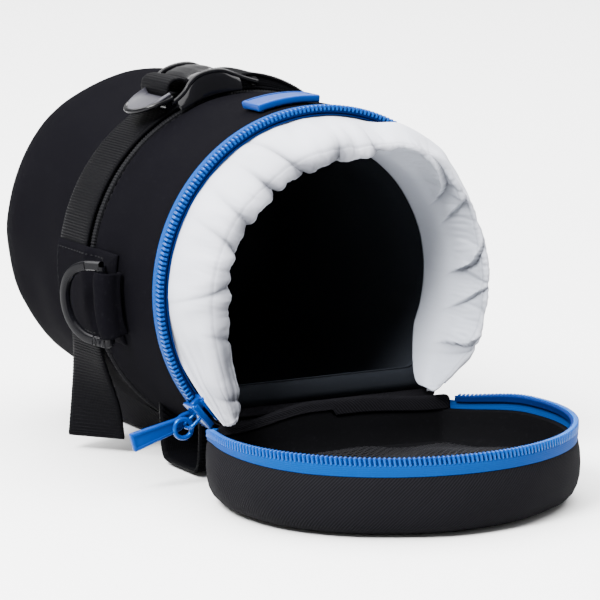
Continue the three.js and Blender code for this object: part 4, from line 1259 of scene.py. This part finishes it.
def build_badge():
    length, _, thick = BADGE_SIZE
    half = math.degrees(length / 2 / BODY_RADIUS)
    bm = block(BADGE_SIZE, bevel=0.8, segments=3)
    sink_face(bm, max(bm.faces, key=lambda face: face.calc_center_median().z), rim=0.9, slope=0.3, depth=0.35)
    long_edges = [edge for edge in bm.edges if abs(edge.verts[0].co.x - edge.verts[1].co.x) > 10]
    bmesh.ops.subdivide_edges(bm, edges=long_edges, cuts=12, use_grid_fill=True)
    for vert in bm.verts:
        across, along, up = vert.co
        angle = BADGE_ANGLE - across / (length / 2) * half
        vert.co = ring_point(BODY_RADIUS + 0.2 + thick / 2 + up, angle, BADGE_MIDDLE + along)
    add_piece("badge_plate", bm, blue_rubber, "pouch", "badge_rubber", nodes=("badge",))


# Back panel and belt loops

PANEL_FRONT = 50
PANEL_REAR = 150
PANEL_HALF = 30
LOOP_PLACE = BODY_RADIUS - 33.0


def underside(x, radius=BODY_RADIUS):
    """Height of the round body's underside at a place across it"""
    return AXIS_HEIGHT - math.sqrt(radius**2 - x * x)


def panel_point(u, v):
    edge = max(abs(2 * u - 1) ** 8, abs(2 * v - 1) ** 12)
    return Vector((mix(-PANEL_HALF, PANEL_HALF, u), mix(PANEL_FRONT, PANEL_REAR, v), 0.05 + 1.6 * edge))


def build_back_panel():
    panel = mapped_grid(40, 60, panel_point, (2 * PANEL_HALF, PANEL_REAR - PANEL_FRONT))
    rim = [edge for edge in panel.edges if edge.is_boundary]
    grown = bmesh.ops.extrude_edge_only(panel, edges=rim)
    for vert in (made for made in grown["geom"] if isinstance(made, bmesh.types.BMVert)):
        x, y = vert.co.x, vert.co.y
        vert.co.z = underside(x, BODY_RADIUS + rear_taper(y) + 0.4) + axis_rise(y)
    cloth = panel.loops.layers.uv.active
    for face in panel.faces:
        for loop in face.loops:
            loop[cloth].uv = (loop.vert.co.x + loop.vert.co.z, loop.vert.co.y)
    pad = add_piece("back_pad", panel, twill_cloth, "pouch", "twill", nodes=("back_panel",))


def settle_loop(centre, point):
    """Lets the rear end of a belt loop follow the round body across its width"""
    if centre.y > 30:
        follow = underside(point.x) / underside(centre.x)
        point.z *= mix(1.0, follow, smoothstep(centre.z, 2.0, 9.0))


def build_belt_loop(name, x):
    rise = underside(x)
    front_rise = max(rise, flat_level(12.0))
    section = [
        (11.0, front_rise + 1.0), (11.4, front_rise * 0.6), (12.4, 6.0), (15.0, 2.2), (20.0, 1.3), (30.0, 1.2),
        (39.0, 1.3), (44.0, 2.2), (46.4, 5.0), (47.2, rise * 0.6), (47.6, rise + 1.0),
    ]
    loop = ribbon([(x, y, z) for y, z in section], [90] * len(section), settle=settle_loop)
    add_webbing(f"belt_loop_band_{name}", loop, nodes=(f"belt_loop_{name}",))


# Lid

LID_WALL = [
    (-1.6, -7.6), (-0.6, -7.2), (0.1, -7.4), (0.5, -8.4), (0.7, -12), (0.6, -16), (0.2, -20), (-0.6, -23.2),
    (-2.0, -26.0), (-4.0, -28.0), (-6.8, -29.2), (-10.4, -29.8),
]
LID_INSIDE = [(-1.4, -7.0), (-2.6, -7.6), (-3.0, -12), (-3.4, -18), (-4.4, -20.4), (-7.5, -21.6)]
LID_INNER_LEVEL = -22.1
# Rolled edges on both sides of the hinge, and the hinge's own section: y and height
LID_RIM = [(-6.6, 27.4), (-3.4, 27.0), (-1.2, 26.4), (-0.5, 25.2), (-0.9, 24.2), (-3.0, 23.9), (-7.8, 23.9)]
MOUTH_RIM = [(9.0, 26.6), (6.4, 26.4), (3.4, 26.2), (1.5, 25.8), (0.7, 24.8), (1.1, 24.0), (3.0, 23.7), (7.0, 23.9)]
HINGE_SECTION = [
    (7.5, 23.6), (4.0, 23.4), (0.4, 23.2), (-2.6, 23.1), (-4.6, 23.2), (-5.5, 22.9), (-5.7, 21.8), (-5.65, 20.2),
    (-5.6, 18.8),
]
HINGE_HALF = 45.0
POCKET_RADIUS = BODY_RADIUS - 6.0
POCKET_TOP = HINGE_HEIGHT + 2 * (AXIS_HEIGHT - HINGE_HEIGHT) * 0.62
POCKET_CELLS = 72
CELL_SIZE = 2.3
CORD_WIDTH = 0.42
NET_LEVEL = -20.4
NET_SAG = 1.6
BINDING_LEVEL = -20.2
BINDING_RADIUS = 1.3
# Soft dips of the lid's rim: side, with depth, and how far from the middle they are
RIM_DIPS = ((-1, 6.0), (1, 3.0))
DIP_PLACE = 49.0


def lid_sag(co):
    """Soft dip of the lid's rim at its two hinge ends, deeper beside the slider, where the band narrows"""
    if co.x < 0:
        near_end = smoothstep(math.degrees(math.atan2(co.z - AXIS_HEIGHT, -co.x)), 40, -34)
        co.y += 2.8 * near_end * max(0.0, 1 - abs(co.y + 7.3) / 4.2)
    for side, depth in RIM_DIPS:
        far = math.hypot(co.x - side * DIP_PLACE, co.z - HINGE_HEIGHT)
        co.y -= depth * (1 - smoothstep(far, 4, 40)) * min(max(1 + co.y / LID_HEIGHT, 0.0), 1.0)


def lid_flatten(co, softness=1.5):
    """Cuts the lid's round wall flat at the hinge"""
    inset = max(BODY_RADIUS - outward(co).length, 0.0)
    co.z = soft_floor(co.z, HINGE_HEIGHT + min(inset, 8 + (inset - 8) * 0.25), softness)


def build_lid():
    wall = LID_WALL + [(radius - BODY_RADIUS, -LID_HEIGHT) for radius in (50, 38, 24, 12, 0)]
    bm = spun(wall, steps=240)
    for vert in bm.verts:
        out = outward(vert.co)
        if out.length > 58:
            vert.co += out.normalized() * (cloth_ripple(vert.co, 1.0) + 0.4) * smoothstep(-vert.co.y, 8, 14)
        lid_flatten(vert.co)
    shell = add_piece(
        "lid_shell", bm, twill_cloth, "lid", "twill", nodes=("lid_wall", "lid_panel", "lid_foam"), lid=True
    )

    inside = LID_INSIDE + [(radius - BODY_RADIUS, LID_INNER_LEVEL) for radius in (50, 30, 0)]
    lining = spun(inside, steps=160)
    for vert in lining.verts:
        lid_flatten(vert.co, 1.0)
    add_piece("lid_inner", lining, black_lining, "lid", "lid_lining", nodes=("lid_lining",), lid=True, thick=0.5)
    add_piece("lid_rim_fold", rim_fold(LID_RIM), twill_cloth, "lid", "twill", lid=True, thick=0.6)


def build_pocket():
    """Net pocket: a mesh of holes over the lid's floor, with a bound upper edge"""
    bm = bmesh.new()
    bmesh.ops.create_grid(bm, x_segments=POCKET_CELLS, y_segments=POCKET_CELLS, size=0.5)
    bmesh.ops.scale(bm, vec=(POCKET_CELLS * CELL_SIZE, POCKET_CELLS * CELL_SIZE, 1), verts=bm.verts)
    bmesh.ops.rotate(bm, cent=(0, 0, 0), matrix=Matrix.Rotation(math.radians(45), 3, "Z"), verts=bm.verts)
    for vert in bm.verts:
        vert.co = Vector((vert.co.x, NET_LEVEL, vert.co.y + AXIS_HEIGHT))

    def outside(face):
        middle = face.calc_center_median()
        far = outward(middle).length > POCKET_RADIUS
        return far or middle.z > POCKET_TOP or middle.z < HINGE_HEIGHT + 5

    bmesh.ops.delete(bm, geom=[face for face in bm.faces if outside(face)], context="FACES")
    cords = set(bmesh.ops.inset_individual(bm, faces=bm.faces[:], thickness=CORD_WIDTH, depth=0.0)["faces"])
    bmesh.ops.delete(bm, geom=[face for face in bm.faces if face not in cords], context="FACES")
    for vert in bm.verts:
        vert.co.y = NET_LEVEL + NET_SAG * noise.noise(Vector((vert.co.x, vert.co.z, 2.0)) * 0.045)
    add_piece("net_pocket", bm, net_cloth, "lid", "mesh", nodes=("mesh_pocket",), lid=True, thick=0.35)
    half = math.sqrt(POCKET_RADIUS**2 - (POCKET_TOP - AXIS_HEIGHT) ** 2)
    edge = [(x, BINDING_LEVEL, POCKET_TOP + 0.6) for x in (-half, -half / 2, 0, half / 2, half)]
    binding = tube(edge, BINDING_RADIUS, 10, 40)
    add_piece("net_pocket_binding", binding, webbing_cloth, "lid", "mesh", lid=True)


def rim_fold(section):
    """Rolled edge that runs across the mouth or the lid, beside the hinge"""

    def place(u, v):
        y, z = curve_point(section, v)
        reach = math.sqrt(BODY_RADIUS**2 - (AXIS_HEIGHT - z) ** 2) - 0.8
        return Vector((mix(-reach, reach, u), y, z))

    return mapped_grid(80, 24, place, (96, 16))


def hinge_point(u, v):
    y, z = curve_point(HINGE_SECTION, v)
    x = mix(-HINGE_HALF, HINGE_HALF, u)
    return Vector((x, y, z + 0.2 * rumple(x * 0.1, v * 3, 1.0)))


def build_hinge():
    add_piece("mouth_rim_fold", rim_fold(MOUTH_RIM), twill_cloth, "pouch", "twill", thick=0.6)
    strip = mapped_grid(70, 40, hinge_point, (2 * HINGE_HALF, 20))
    blend = ("pouch", "lid", (0, -0.1035, 0.0240), (0, -0.1058, 0.0218))
    leaves = ("hinge_leaf_pouch", "hinge_leaf_lid")
    add_piece("hinge_strip", strip, twill_cloth, blend, "twill", nodes=leaves, thick=0.7)


build_body()
build_seam()
build_inside()
build_collar()
build_zip_side("pouch")
build_zip_side("lid")
build_zip_ends()
build_slider()
build_straps()
build_ring_tab("left", -1)
build_ring_tab("right", 1)
build_buckle()
build_badge()
build_back_panel()
build_belt_loop("left", -LOOP_PLACE)
build_belt_loop("right", LOOP_PLACE)
build_lid()
build_pocket()
build_hinge()


# Floor, light and camera, in metres, degrees and watts

FLOOR_HALF = 8.0
FLOOR_GAP = 0.0004
WORLD_LIGHT = 0.7
CEILING_PLACE = (0, 1.0, 2.6)
CEILING_AIM = (0, 1.0, 0)
CEILING_SIZE = 5.0
CEILING_POWER = 950
KEY_PLACE = (-1.3, -0.75, 1.5)
KEY_AIM = (0, -0.05, 0.07)
KEY_SIZE = 0.7
KEY_POWER = 170
CAMERA_AIM = Vector((-0.0171, -0.1139, 0.0703))
CAMERA_DISTANCE = 1.380
CAMERA_AZIMUTH = math.radians(-27.0)
CAMERA_ELEVATION = math.radians(9.63)
CAMERA_ROLL = math.radians(-0.72)
CAMERA_LENS = 219.8


def add_area(name, place, aim, size, power):
    light = bpy.data.lights.new(name, "AREA")
    light.shape = "RECTANGLE"
    light.size = light.size_y = size
    light.energy = power
    lamp = new_object(name, light)
    lamp.location = place
    lamp.rotation_euler = (Vector(aim) - Vector(place)).to_track_quat("-Z", "Y").to_euler()


def build_floor():
    paper = bpy.data.materials.new("paper")
    paper.use_nodes = True
    shader = paper.node_tree.nodes["Principled BSDF"]
    shader.inputs["Base Color"].default_value = PAPER
    shader.inputs["Roughness"].default_value = 0.9
    bm = bmesh.new()
    bmesh.ops.create_grid(bm, x_segments=1, y_segments=1, size=FLOOR_HALF)
    bmesh.ops.translate(bm, vec=(0, 0, -FLOOR_GAP), verts=bm.verts)
    floor = new_object("floor", new_mesh("floor", bm, paper))


def light_studio():
    world = bpy.data.worlds.new("studio")
    world.use_nodes = True
    back = world.node_tree.nodes["Background"]
    back.inputs["Color"].default_value = (1, 1, 1, 1)
    back.inputs["Strength"].default_value = WORLD_LIGHT
    bpy.context.scene.world = world
    add_area("ceiling", CEILING_PLACE, CEILING_AIM, CEILING_SIZE, CEILING_POWER)
    add_area("key", KEY_PLACE, KEY_AIM, KEY_SIZE, KEY_POWER)


def place_camera():
    """Camera at the photograph's viewing angle, turned a little about its own line of sight"""
    flat = math.cos(CAMERA_ELEVATION)
    back = Vector(
        (math.sin(CAMERA_AZIMUTH) * flat, -math.cos(CAMERA_AZIMUTH) * flat, math.sin(CAMERA_ELEVATION))
    )
    level = Vector((math.cos(CAMERA_AZIMUTH), math.sin(CAMERA_AZIMUTH), 0))
    right = Matrix.Rotation(CAMERA_ROLL, 3, back) @ level
    camera = bpy.data.cameras.new("camera")
    camera.sensor_width = 36.0
    camera.lens = CAMERA_LENS
    eye = new_object("camera", camera)
    eye.location = CAMERA_AIM + back * CAMERA_DISTANCE
    eye.rotation_euler = Matrix((right, back.cross(right), back)).transposed().to_euler()
    bpy.context.scene.camera = eye


build_floor()
light_studio()
place_camera()
